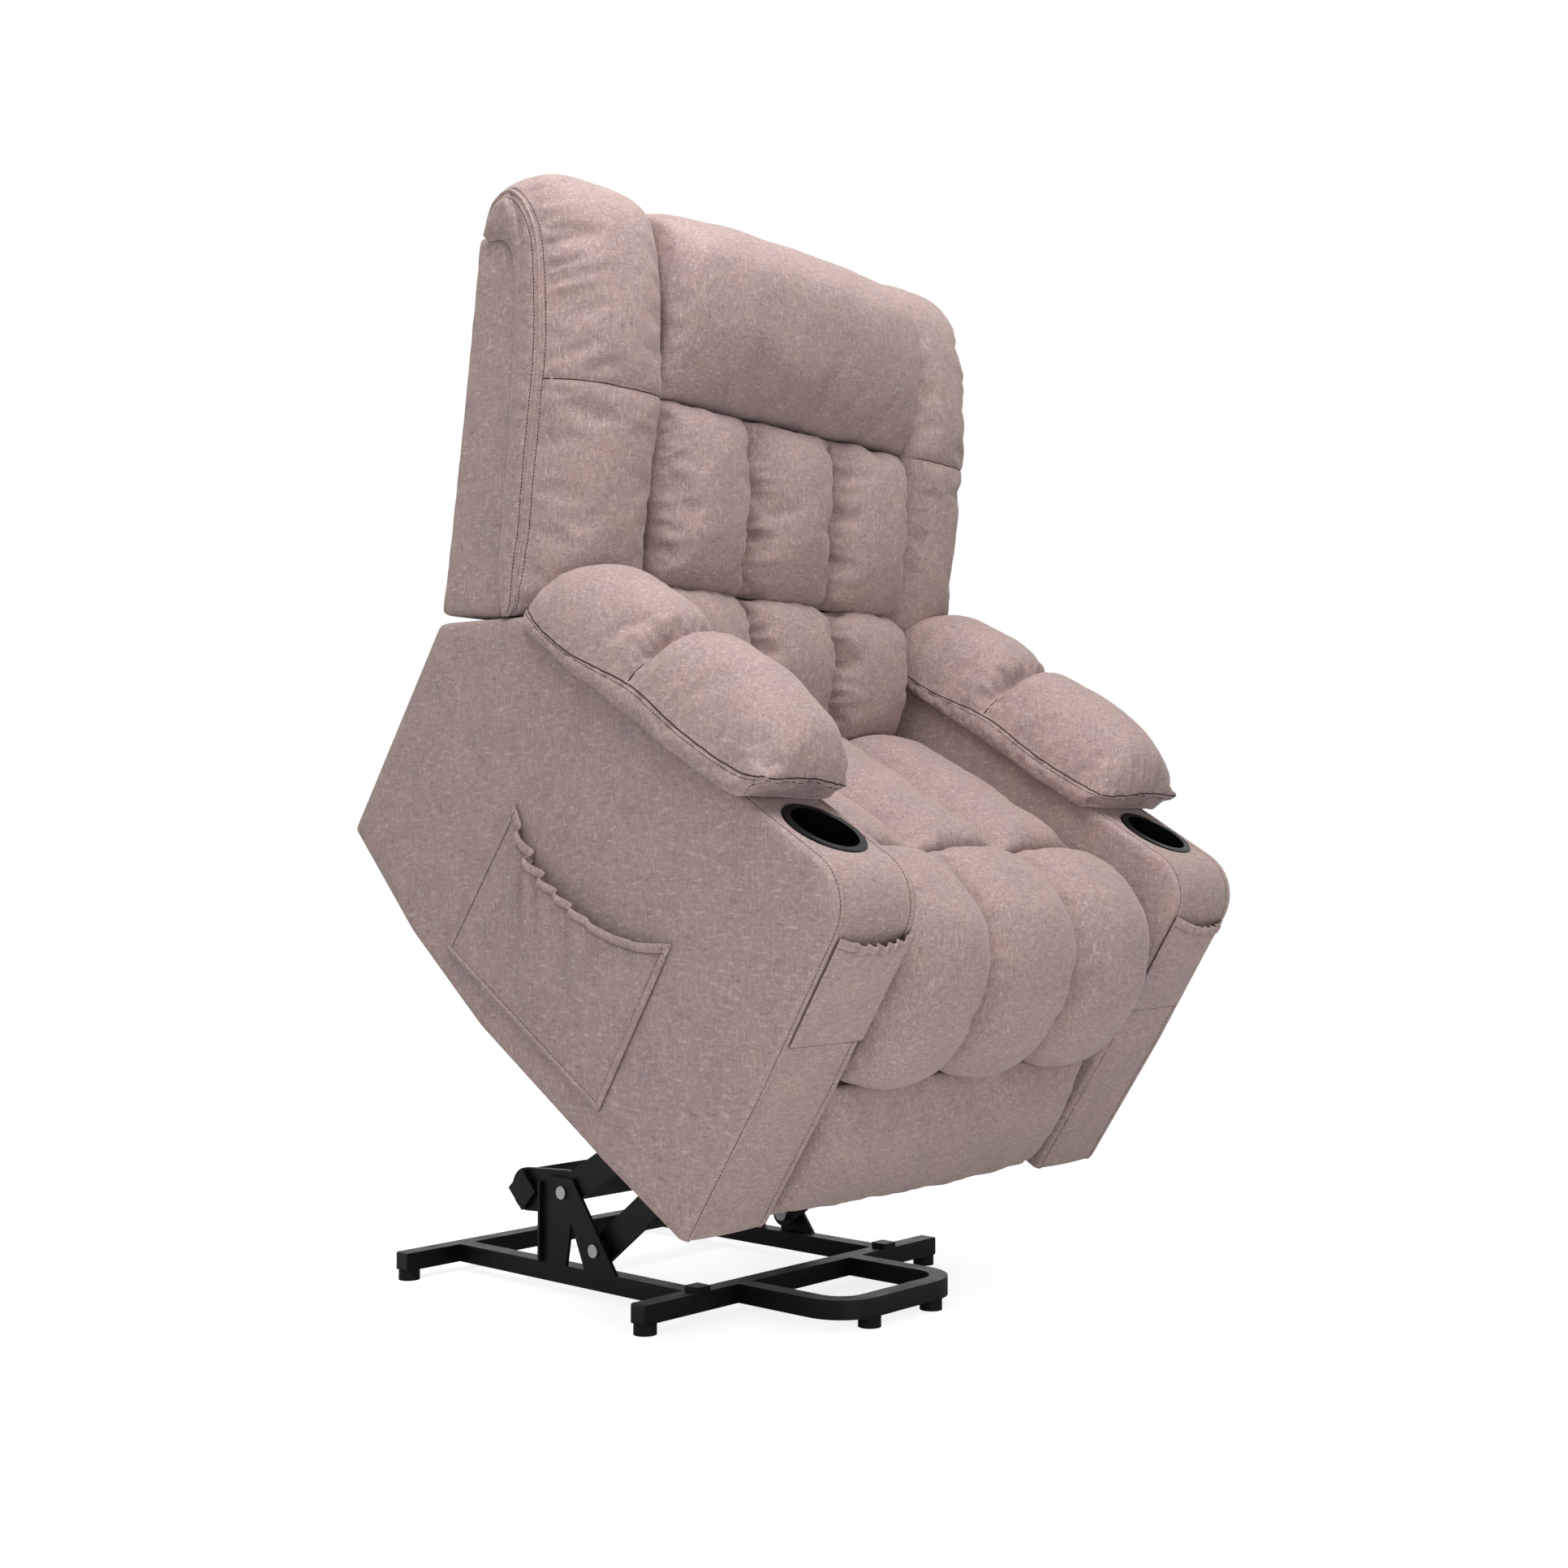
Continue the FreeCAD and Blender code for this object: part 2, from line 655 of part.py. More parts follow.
def make_arm_tubes():
    reach = arm_outer_face + size("cross_tube_overhang")
    outer = diamond("rear_cross_outer", "sizes.cross_tube_size", -reach, str(2 * reach))
    inner = diamond("rear_cross_inner", "sizes.cross_tube_size - 2 * sizes.bar_wall",
                    -reach + size("bar_wall"), str(2 * reach - 2 * size("bar_wall")))
    keep("rear_cross_tube", cut("rear_cross_tube", outer, inner, on_upper_arm))
    span = arm_outer_face
    tube = rod("drive_outer", "sizes.drive_tube_diameter", str(2 * span),
               vector(-span, crank_pin_on_arm.y, crank_pin_on_arm.z))
    bore = rod("drive_inner", "sizes.drive_tube_diameter - 2 * sizes.bar_wall",
               str(2 * span - 2 * size("bar_wall")),
               vector(-span + size("bar_wall"), crank_pin_on_arm.y, crank_pin_on_arm.z))
    keep("drive_tube", cut("drive_tube", tube, bore, on_upper_arm))


def make_lower_arms():
    hole = "sizes.pivot_diameter + 2 * sizes.pivot_play"
    loose = "sizes.pivot_diameter + 2 * sizes.open_pivot_play"
    for word, side in (("right", -1), ("left", 1)):
        name = "lower_lift_arm_" + word
        x = -lower_outer_face if side < 0 else lower_outer_face - size("arm_bar_thick")
        bar = ball_end_bar(name + "_main", x, "sizes.lower_arm_length", "sizes.arm_bar_depth",
                           "sizes.arm_bar_thick")
        inside = lower_outer_face - size("arm_bar_thick")
        outside = inside + boss_length
        bosses = []
        holes = []
        for end, y, width in (("near", 0.0, hole), ("far", -size("lower_arm_length"), loose)):
            bosses.append(rod_between(name + end + "_boss", "sizes.boss_diameter", side * inside,
                                      side * outside, y, 0))
            holes.append(rod_between(name + end + "_hole", width, side * inside, side * outside, y, 0))
        keep(name, cut(name, fuse(name + "_solid", bar + bosses), fuse(name + "_holes", holes), on_lower_arm))
    half = lower_outer_face - size("arm_bar_thick")
    start = "-sizes.lower_tube_reach - sizes.bar_size / 2"
    tube = square_tube("lower_cross_tube", [str(-half), start, "-sizes.bar_size / 2"],
                       [str(2 * half), "sizes.bar_size", "sizes.bar_size"])
    tube.Placement = on_lower_arm
    keep("lower_cross_tube", tube)


def make_motor():
    """The lift motor lies along its own +y, from the anchor tube to the crank's drive tube."""
    ring = "sizes.anchor_tube_diameter + 2 * sizes.eye_wall"
    half = size("eye_width") / 2
    eye = rod("motor_eye", ring, "sizes.eye_width", vector(-half, 0, 0))
    block = box("motor_gearbox", ["-sizes.gearbox_size / 2", "sizes.anchor_tube_diameter / 2 + 2",
                                  "-sizes.gearbox_size / 2"],
                ["sizes.gearbox_size", "sizes.gearbox_size", "sizes.gearbox_size"])
    can = rod("motor_can", "sizes.motor_diameter", "sizes.motor_length",
              vector(size("gearbox_size") / 2 - 1, size("anchor_tube_diameter") / 2 + 2 + size("gearbox_size") / 2, 0))
    tube = rod("motor_tube", "sizes.housing_diameter", "sizes.housing_length - sizes.gearbox_size / 2",
               vector(0, size("gearbox_size") / 2, 0), (0, 1, 0))
    bore_start = size("anchor_tube_diameter") / 2 + 4
    bore = rod("motor_bore", "sizes.rod_diameter + 2 * sizes.pivot_play", "sizes.housing_length",
               vector(0, bore_start, 0), (0, 1, 0))
    seat = rod("motor_eye_bore", "sizes.anchor_tube_diameter + 2 * sizes.pivot_play",
               "sizes.gearbox_size + 10", vector(-size("gearbox_size") / 2 - 5, 0, 0))
    keep("lift_motor_housing", cut("lift_motor_housing", fuse("motor_solid", [eye, block, can, tube]),
                                   fuse("motor_bores", [bore, seat]), on_motor))
    end = motor_length_now
    shaft = rod("motor_rod", "sizes.rod_diameter", "sizes.rod_length", vector(0, end - size("rod_length"), 0),
                (0, 1, 0))
    cap = rod("motor_rod_eye", "sizes.drive_tube_diameter + 2 * sizes.eye_wall", "sizes.eye_width",
              vector(-half, end, 0))
    hole = rod("motor_rod_bore", "sizes.drive_tube_diameter + 2 * sizes.pivot_play", "sizes.eye_width + 10",
               vector(-half - 5, end, 0))
    keep("lift_motor_rod", cut("lift_motor_rod", fuse("motor_rod_solid", [shaft, cap]), hole, on_motor))


def make_seat_frame():
    hole = "sizes.pivot_diameter + 2 * sizes.pivot_play"
    stud = "sizes.rivet_diameter + 2 * sizes.pivot_play"
    corners = [("sizes.frame_front", "sizes.frame_low"), ("sizes.frame_rear", "sizes.frame_low + sizes.plate_heel"),
               ("sizes.frame_rear", "sizes.frame_top + sizes.plate_rise"),
               ("sizes.hinge_back + sizes.hinge_side", "sizes.hinge_height + sizes.hinge_cap"),
               ("sizes.hinge_back - sizes.hinge_side", "sizes.hinge_height + sizes.hinge_cap"),
               ("sizes.hinge_back - sizes.hinge_run", "sizes.frame_top"),
               ("sizes.board_front", "sizes.frame_top"),
               ("sizes.board_front", "sizes.roll_bottom - sizes.plate_nose"),
               ("sizes.frame_front", "sizes.roll_bottom - sizes.plate_nose")]
    corners.insert(1, ("sizes.frame_rear - sizes.plate_toe", "sizes.frame_low"))
    pivots = [(str(upper_mount.y), str(upper_mount.z), hole),
              ("sizes.lower_mount_back", "sizes.lower_mount_height", hole),
              ("sizes.link_back", "sizes.link_height", "sizes.torque_tube_diameter + 2 * sizes.pivot_play"),
              ("sizes.hinge_back", "sizes.hinge_height", stud),
              (str(anchor.y), str(anchor.z), "sizes.anchor_tube_diameter + 2 * sizes.pivot_play")]
    flange_run = "sizes.hinge_back - sizes.hinge_run - sizes.board_front"
    for word, side in (("right", -1), ("left", 1)):
        x = -frame_outer if side < 0 else size("frame_half")
        web = plate_body("side_web_" + word, x, corners, pivots, "sizes.plate_thick", on_floor)
        inner = -arm_inner + size("thin_gap") if side < 0 else size("frame_half")
        flange = box("side_flange_" + word, [str(inner), "sizes.board_front",
                                             "sizes.frame_top - sizes.plate_thick"],
                     [str(arm_inner - size("thin_gap") - size("frame_half")), flange_run, "sizes.plate_thick"])
        keep("side_plate_" + word, fuse("side_plate_" + word, [web, flange], on_frame))
    half = frame_outer
    tube = rod("anchor_outer", "sizes.anchor_tube_diameter", str(2 * half), vector(-half, anchor.y, anchor.z))
    bore = rod("anchor_inner", "sizes.anchor_tube_diameter - 2 * sizes.bar_wall",
               str(2 * half - 2 * size("bar_wall")), vector(-half + size("bar_wall"), anchor.y, anchor.z))
    keep("front_cross_tube", cut("front_cross_tube", tube, bore, on_frame))
    keep("lift_pivot_bolts", group("lift_pivot_bolts", frame_bolts(), on_frame))
    keep("back_pivot_bolts", group("back_pivot_bolts", back_bolts(), on_frame))


def frame_bolts():
    """Bolts from the side plates through the far ends of the lift arms."""
    collar = (arm_outer_face + size("side_gap") / 2, size("frame_half") - size("thin_gap"))
    outer = frame_outer + size("side_gap") / 2
    bolts = []
    for word, y, z in (("upper", upper_mount.y, upper_mount.z),
                       ("lower", size("lower_mount_back"), size("lower_mount_height"))):
        for side in (-1, 1):
            bolts.append(pivot_bolt("frame_bolt_%s_%d" % (word, side + 1), side, nut_face(), collar, outer, y, z))
    return bolts


def back_bolts():
    """Shoulder bolts that carry the back's uprights outside the side plates."""
    start = size("frame_half") - size("head_height") - size("thin_gap")
    end = link_face + size("plate_thick") + size("thin_gap")
    y, z = size("hinge_back"), size("hinge_height")
    bolts = []
    for side in (-1, 1):
        name = "back_bolt_%d" % (side + 1)
        bolts.append(fuse(name, [
            rod_between(name + "_shank", "sizes.rivet_diameter", side * start, side * end, y, z),
            rod_between(name + "_inner", "sizes.head_diameter", side * start,
                        side * (start + size("head_height")), y, z),
            rod_between(name + "_outer", "sizes.head_diameter", side * end,
                        side * (end + size("head_height")), y, z)]))
    return bolts


def make_seat_box():
    low = size("frame_top") + size("thin_gap")
    for word, y in (("front", size("board_front")), ("rear", size("seat_depth") - size("board_thick"))):
        name = "seat_board_" + word
        board = box(name + "_block", ["-sizes.seat_half + 8", str(y), str(low)],
                    ["2 * sizes.seat_half - 16", "sizes.board_thick", "sizes.board_height"])
        keep(name, group(name, [board], on_frame))
    front = size("board_front")
    webbing = box("webbing_sheet", ["-sizes.webbing_width / 2", str(front), str(board_top)],
                  ["sizes.webbing_width", "sizes.seat_depth - %s" % front, "sizes.webbing_thick"])
    keep("seat_webbing", group("seat_webbing", [webbing], on_frame))
    box_rear = size("seat_depth") - size("board_thick") - size("thin_gap")
    shell = box("control_shell", ["sizes.box_side", "%s - sizes.box_depth" % box_rear,
                                  "sizes.frame_top + sizes.box_lift"],
                ["sizes.box_length", "sizes.box_depth", "sizes.box_height"])
    box_end = size("box_side") + size("box_length")
    inlet = rod("control_inlet", "sizes.inlet_diameter", "sizes.inlet_depth",
                vector(box_end - size("inlet_depth") + size("side_gap"), box_rear - size("box_depth") / 2,
                       size("frame_top") + size("box_lift") + size("box_height") / 2))
    keep("control_box", cut("control_box", shell, inlet, on_frame))


def channel_stations(half, seam):
    """Stations across a row of three channels, each with its share of the crown."""
    middle = (seam + half) / 2
    return [(-half, 0.0), (-middle, 1.0), (-seam, 0.0), (0.0, 1.0), (seam, 0.0), (middle, 1.0), (half, 0.0)]


def make_seat_cushions():
    half = size("seat_half")
    front = size("roll_back") + size("thin_gap")
    rear = size("seat_depth")
    seam = size("seat_seam_height")
    wires = []
    for x, share in channel_stations(half, size("channel_seam")):
        top = seam + size("seat_crown") * share
        wires.append(outline(x, (front, cushion_low),
                             (front, seam + size("seat_front_rise") * (1 + share) / 2),
                             (blend(front, rear, 0.4), top, rear - size("seat_rear_round"),
                              seam - size("seat_rear_fall") + 8 * share),
                             (rear, seam - size("seat_rear_drop")), (rear, cushion_low)))
    soft("seat_cushion", wires, on_frame)
    wires = []
    back = size("roll_back")
    bottom = size("roll_bottom")
    inside = size("board_front") - size("thin_gap")
    for x, share in channel_stations(half, size("channel_seam")):
        reach = size("roll_seam_reach") + size("roll_crown") * share
        brow = (size("roll_brow") - 8 * share, seam - size("roll_brow_drop") + 6 * share)
        rise = seam + size("roll_top_rise")
        wires.append(outline(x, (back, cushion_low), (inside, cushion_low),
                             (inside, bottom + size("roll_toe_rise")), (size("roll_toe"), bottom - 4 * share),
                             (-reach, bottom + size("roll_swell")) + brow,
                             (size("roll_shoulder"), rise + 17 * share, back, rise + 1 + 4 * share)))
    soft("seat_front_roll", wires, on_frame)


def arm_side(x, inset):
    """The side view of an arm at one x, drawn in towards its middle by an inset all round."""
    front, rear, top = -size("arm_nose"), size("arm_rear"), size("arm_height")
    share_y = (rear - front - 2 * inset) / (rear - front)
    share_z = (top - 2 * inset) / top
    drop, reach = size("front_drop"), size("front_reach")
    radius = (reach ** 2 + drop ** 2) / (2 * drop)
    half_turn = math.asin(reach / radius) / 2
    round_middle = (front + reach - radius * math.sin(half_turn), top - radius * (1 - math.cos(half_turn)))
    nose = size("nose_height")
    heel = size("heel_start")
    low = size("rear_low")
    curl = size("rear_round")
    edge = (rear - size("rear_slope_in"), top - size("rear_slope_drop"))
    runs = [(0, 0), (0, nose - size("nose_run")), (front, nose), (front, size("arm_shoulder")),
            round_middle + (front + reach, top), (rear - size("rear_slope_run"), top), edge,
            (edge[0] + 0.58 * curl, edge[1] - 0.42 * curl, edge[0] + 0.79 * curl, edge[1] - curl),
            (rear, low), (blend(heel, rear, 0.532), 0.23 * low, heel, 0)]
    scaled = []
    for run in runs:
        spots = [front + inset + (value - front) * share_y if index % 2 == 0 else inset + value * share_z
                 for index, value in enumerate(run)]
        scaled.append(tuple(spots))
    return outline(x, *scaled)


def cup_place(side):
    return vector(side * (size("span") / 2 - size("arm_width") / 2), size("cup_back"), size("arm_height"))


def make_arms():
    outer_x = size("span") / 2
    rounding = size("arm_rounding")
    thick = size("cover_thick")
    for word, side in (("right", -1), ("left", 1)):
        stations = [(arm_inner, rounding * 0.8), (arm_inner + rounding, 0.0),
                    (outer_x - rounding, 0.0), (outer_x, rounding * 0.8)]
        outer = Part.makeLoft([arm_side(side * x, inset) for x, inset in stations], True, True)
        hollow = Part.makeLoft([arm_side(side * x, thick) for x in (arm_inner + thick, outer_x - thick)],
                               True, True)
        well = Part.makeCylinder(size("cup_outer") / 2 + size("thin_gap"), 4 * thick,
                                 cup_place(side) - vector(0, 0, 3 * thick))
        item = doc.addObject("Part::Feature", "arm_cover_" + word)
        item.Shape = outer.cut(hollow).cut(well)
        item.Placement = on_frame
        keep("arm_cover_" + word, item)
        keep("arm_frame_" + word, arm_frame(word, side))
        make_cup(word, side)
        make_pad(word, side)


def arm_frame(word, side):
    """A plywood frame inside the cover: two side panels with four boards between them."""
    gap = size("thin_gap")
    skin = size("cover_thick") + gap
    board = size("arm_board")
    low_x, high_x = arm_inner + skin, size("span") / 2 - skin
    panels = [Part.makeLoft([arm_side(side * x, skin) for x in edges], True, True)
              for edges in ((low_x, low_x + board), (high_x - board, high_x))]
    room = high_x - low_x - 2 * (board + gap)
    start_x = min(side * (low_x + board + gap), side * (high_x - board - gap))
    floor = skin + gap
    cup_rear = size("cup_back") + size("cup_rim") / 2
    cup_floor = size("arm_height") - size("cup_depth") - gap
    back_end = size("arm_rear") - 2 * skin
    crest = size("arm_rear") - size("rear_slope_run") - skin
    spots = [(cup_rear, size("arm_height") - skin - gap - board, crest - cup_rear, board),
             (skin + gap, floor + board + gap, board, cup_floor - floor - board - 2 * gap),
             (skin + gap, floor, size("heel_start") - 2 * skin, board),
             (back_end - board, size("rear_low") + skin + board, board, size("nose_height") - skin)]
    boards = [Part.makeBox(room, length, height, vector(start_x, y, z)) for y, z, length, height in spots]
    item = doc.addObject("Part::Feature", "arm_frame_" + word)
    item.Shape = Part.makeCompound(panels + boards)
    item.Placement = on_frame
    return item


def make_cup(word, side):
    """A moulded cup with a flat rim that rests on the arm, turned about its own axis."""
    body = doc.addObject("PartDesign::Body", "cup_holder_" + word)
    plane = [item for item in body.Origin.OriginFeatures if item.Role == "XZ_Plane"][0]
    axis = [item for item in body.Origin.OriginFeatures if item.Role == "Z_Axis"][0]
    sketch = body.newObject("Sketcher::SketchObject", "cup_section_" + word)
    sketch.AttachmentSupport = [(plane, "")]
    sketch.MapMode = "FlatFace"
    doc.recompute()
    lip = "sizes.cup_wall * 1.6"
    corners = [("0", "-sizes.cup_depth"), ("sizes.cup_outer / 2", "-sizes.cup_depth"),
               ("sizes.cup_outer / 2", "sizes.thin_gap"), ("sizes.cup_rim / 2", "sizes.thin_gap"),
               ("sizes.cup_rim / 2 - 2", lip), ("sizes.cup_outer / 2 - sizes.cup_wall", lip),
               ("sizes.cup_outer / 2 - sizes.cup_wall", "sizes.cup_wall - sizes.cup_depth"),
               ("0", "sizes.cup_wall - sizes.cup_depth")]
    spots = [(sheet_value(a), sheet_value(b)) for a, b in corners]
    for index, start in enumerate(spots):
        end = spots[(index + 1) % len(spots)]
        sketch.addGeometry(Part.LineSegment(vector(start[0], start[1], 0), vector(end[0], end[1], 0)), False)
    for index in range(len(spots)):
        sketch.addConstraint(Sketcher.Constraint("Coincident", index, 2, (index + 1) % len(spots), 1))
    for index, corner in enumerate(corners):
        bind_point(sketch, index, 1, corner)
    spun = body.newObject("PartDesign::Revolution", "cup_turn_" + word)
    spun.Profile = sketch
    spun.ReferenceAxis = (axis, [""])
    spun.Angle = 360.0
    doc.recompute()
    spot = cup_place(side)
    body.Placement = on_frame.multiply(FreeCAD.Placement(spot, FreeCAD.Rotation()))
    keep("cup_holder_" + word, body)


def make_pad(word, side):
    """A pillow in two lobes along the arm: full in each lobe, drawn in at the middle seam."""
    base = size("arm_height") + size("thin_gap")
    half = size("arm_width") / 2
    centre = side * (size("span") / 2 - half)
    front, seam, rear = size("pad_front"), size("pad_seam"), size("pad_rear")
    saddle = size("pad_saddle")
    tall = size("pad_height") + saddle
    wide = half + size("pad_overhang")
    end, tip, lift = size("pad_end"), size("pad_tip"), size("pad_tip_lift")
    # each station's place along the arm, share of the width and of the height, and lift
    stations = [(rear, 0.8, 0.52, 0), (rear - end, 0.93, 0.8, 0), (rear - 2 * end, 0.98, 0.95, 0),
                (blend(seam, rear, 0.5), 1.0, 1.0, 0), (seam, 0.96, 0.93, 0), (blend(front, seam, 0.7), 1.0, 0.99, 0),
                (blend(front, seam, 0.25), 0.98, 0.95, 0), (front + 0.8 * tip, 0.95, 0.82, 0),
                (front - 0.2 * tip, 0.92, 0.62, 0.5 * lift), (front - tip, 0.86, 0.4, lift)]
    wires = []
    for y, width, height, lift in stations:
        foot = (wide - 6) * width
        crest = foot * 0.82
        low = base - saddle + lift
        shoulder = low + tall * height * 0.7
        corners = [vector(centre - foot, y, low), vector(centre + foot, y, low),
                   vector(centre + crest, y, shoulder), vector(centre - crest, y, shoulder)]
        waist = blend(low, shoulder, 0.5)
        wires.append(Part.Wire([
            Part.LineSegment(corners[0], corners[1]).toShape(),
            Part.Arc(corners[1], vector(centre + wide * width, y, waist), corners[2]).toShape(),
            Part.Arc(corners[2], vector(centre, y, low + tall * height), corners[3]).toShape(),
            Part.Arc(corners[3], vector(centre - wide * width, y, waist), corners[0]).toShape()]))
    room = half + size("thin_gap")
    arm_top = Part.makeBox(2 * room, rear + 40, 3 * saddle, vector(centre - room, 0, base - 3 * saddle))
    item = doc.addObject("Part::Feature", "arm_pad_" + word)
    item.Shape = Part.makeLoft(wires, True, False).cut(arm_top)
    item.Placement = on_frame
    keep("arm_pad_" + word, item)


def pocket_shell(node, frame, back_corners, front_corners, depth, wall, face, outward, sink):
    """A fabric pocket: a patch that stands off a face and is open at its upper edge.
    The corners run bottom first, then up one side, and back down the other."""
    def shell_wire(corners, offset, inset, rise):
        (ax, az), (bx, bz), (cx, cz), (dx, dz) = corners
        spots = [(ax + inset, az + sink), (bx - inset, bz + sink), (cx - inset, cz + rise), (dx + inset, dz + rise)]
        if inset == 0:
            spots = corners
        points = [outward(face + offset, a, b) for a, b in spots]
        return Part.makePolygon(points + [points[0]])
    outer = Part.makeLoft([shell_wire(back_corners, 0, 0, 0), shell_wire(front_corners, depth, 0, 0)], True, True)
    inner = Part.makeLoft([shell_wire(back_corners, -1, wall, 5),
                           shell_wire(front_corners, depth - wall, wall, 5)], True, True)
    item = doc.addObject("Part::Feature", node)
    item.Shape = outer.cut(inner)
    item.Placement = frame
    return keep(node, item)


def side_pocket_corners():
    """The side pocket's corners on the arm, then on its front, which is drawn in all round."""
    start, low = size("pocket_front"), size("pocket_low")
    end, high = start + size("pocket_length"), low + size("pocket_front_height")
    draw = size("pocket_draw")
    on_arm = [(start, low), (end, low + 4), (end - 2 * draw, high - 8), (start, high)]
    on_front = [(start + draw, low + draw), (end - 1.2 * draw, low + 4 + draw),
                (end - 3 * draw, high - 8 - 1.5 * draw), (start + 0.8 * draw, high - 1.5 * draw)]
    return on_arm, on_front


def make_pockets():
    wall = size("pocket_wall")
    side_face = size("span") / 2 + size("thin_gap")
    front_face = size("arm_nose") + size("thin_gap")
    for word, side in (("right", -1), ("left", 1)):
        def from_side(offset, y, z, side=side):
            return vector(side * offset, y, z)

        def from_front(offset, x, z, side=side):
            return vector(side * x, -offset, z)
        pocket_shell("side_pocket_" + word, on_frame, *side_pocket_corners(),
                     size("pocket_standoff"), wall, side_face, from_side, wall)
        low_x, high_x = arm_inner + 4, size("span") / 2 - 4
        low_z, high_z = size("nose_height"), size("arm_shoulder")
        pocket_shell("front_pocket_" + word, on_frame,
                     [(low_x, low_z), (high_x, low_z), (high_x, high_z), (low_x, high_z)],
                     [(low_x + 4, low_z + 5), (high_x - 4, low_z + 5), (high_x - 4, high_z - 4),
                      (low_x + 4, high_z - 4)],
                     size("front_pocket_standoff"), wall, front_face, from_front, wall)


def make_back_frame():
    stud = "sizes.rivet_diameter + 2 * sizes.pivot_play"
    length = "sizes.upright_length - sizes.upright_width"
    for word, side in (("right", -1), ("left", 1)):
        name = "back_upright_" + word
        x = -link_face - size("plate_thick") if side < 0 else link_face
        bar = fuse(name + "_bar", ball_end_bar(name + "_flat", x, length, "sizes.upright_width",
                                               "sizes.plate_thick"))
        bar.Placement = place(0, 0, 0, -90.0)
        hole = rod(name + "_hole", stud, "sizes.plate_thick", vector(x, 0, 0))
        keep(name, cut(name, bar, hole, on_back))
    half = link_face - size("thin_gap")
    outer = box("back_rail_outer", [str(-half), "-sizes.back_rail_size / 2", "sizes.back_rail_rise"],
                [str(2 * half), "sizes.back_rail_size", "sizes.back_rail_size"])
    inner = box("back_rail_inner", [str(-half) + " + sizes.bar_wall", "-sizes.back_rail_size / 2 + sizes.bar_wall",
                                    "sizes.back_rail_rise + sizes.bar_wall"],
                [str(2 * half) + " - 2 * sizes.bar_wall", "sizes.back_rail_size - 2 * sizes.bar_wall",
                 "sizes.back_rail_size - 2 * sizes.bar_wall"])
    keep("back_bottom_rail", cut("back_bottom_rail", outer, inner, on_back))


def make_back_cover():
    """The rear shell of the back: a tray that is open towards the cushions."""
    half = size("back_half") - size("cover_inset")
    edge, rounding = size("cover_edge"), size("cover_rounding")
    depth = size("cover_depth")
    front = back_face + size("thin_gap")
    low, top = size("cover_low"), size("cover_top")
    thick = size("cover_thick")

    def tray(x, inset, opening):
        start = front - opening
        return outline(x, (start, low + size("cover_front_rise") + inset), (depth - inset - rounding, low + inset),
                       (depth - inset, low + inset + rounding),
                       (size("cover_top_depth") - inset, top - inset), (start, top - inset))
    outer = Part.makeLoft([tray(x, inset, 0) for x, inset in
                           ((-half, rounding), (-half + edge, 0), (half - edge, 0), (half, rounding))], True, True)
    inner = Part.makeLoft([tray(x, thick, 5) for x in (-half + thick, half - thick)], True, True)
    slot = size("plate_thick") + 2
    slots = [Part.makeBox(slot, size("upright_width") + 4, 3 * thick,
                          vector(x - slot / 2, -upright_front - 2, low - thick))
             for x in (-link_face - size("plate_thick") / 2, link_face + size("plate_thick") / 2)]
    item = doc.addObject("Part::Feature", "back_cover")
    item.Shape = outer.cut(inner).cut(slots[0]).cut(slots[1])
    item.Placement = on_back
    keep("back_cover", item)


def over_the_top(x, low, seam_depth, crown, drop):
    """The part of a back cushion that curls over the frame's top edge, as outline runs."""
    top = size("back_height") - drop
    rest = size("cover_top") + size("thin_gap")
    step, rear = size("head_step"), size("head_rear")
    return [(-seam_depth - crown, blend(low, top, 0.42), -seam_depth - step, top - size("head_shoulder")),
            (-seam_depth + size("head_front"), top - size("head_front_rise"), back_face + step, top),
            (size("head_rear_round"), top - size("head_rear_drop"), rear, size("cover_top") + size("head_rear_edge")),
            (rear, rest), (back_face, rest)]


def make_back_cushions():
    depth = size("back_seam_depth")
    crown = size("back_crown")
    gap = size("thin_gap")
    seam = size("wing_seam")
    head_low = size("head_seam") + gap
    wires = []
    for x, share in ((-seam + gap, 0.1), (-seam * 0.6, 1.0), (0, 1.05), (seam * 0.6, 1.0), (seam - gap, 0.1)):
        wires.append(outline(x, (back_face, head_low), (-depth, head_low),
                             *over_the_top(x, head_low, depth - 8 * (1 - share), crown * share,
                                           size("head_side_drop") * (1 - share))))
    soft("head_roll", wires, on_back)
    low = size("row_seam") + gap
    wires = []
    for x, share in channel_stations(seam - gap, size("row_channel_seam")):
        wires.append(outline(x, (back_face, low), (-depth, low),
                             (-depth - size("row_bulge") - crown * share * 0.8, blend(low, head_low, 0.5),
                              -depth, head_low - 2 * gap), (back_face, head_low - 2 * gap)))
    soft("upper_channels", wires, on_back)
    wires = []
    bottom = size("lumbar_low")
    for x, share in channel_stations(seam - gap, size("row_channel_seam")):
        reach = size("lumbar_reach") - size("lumbar_draw") * (1 - share)
        wires.append(outline(x, (back_face, bottom + size("lumbar_rise")), (-size("lumbar_front"), bottom),
                             (-reach * 0.93, blend(bottom, low, 0.28), -reach, blend(bottom, low, 0.52)),
                             (-reach * 0.94, blend(bottom, low, 0.82), -depth - size("head_step"),
                              low - 2 * gap),
                             (back_face, low - 2 * gap)))
    soft("lumbar_channels", wires, on_back)
    for word, side in (("right", -1), ("left", 1)):
        make_wing(word, side)


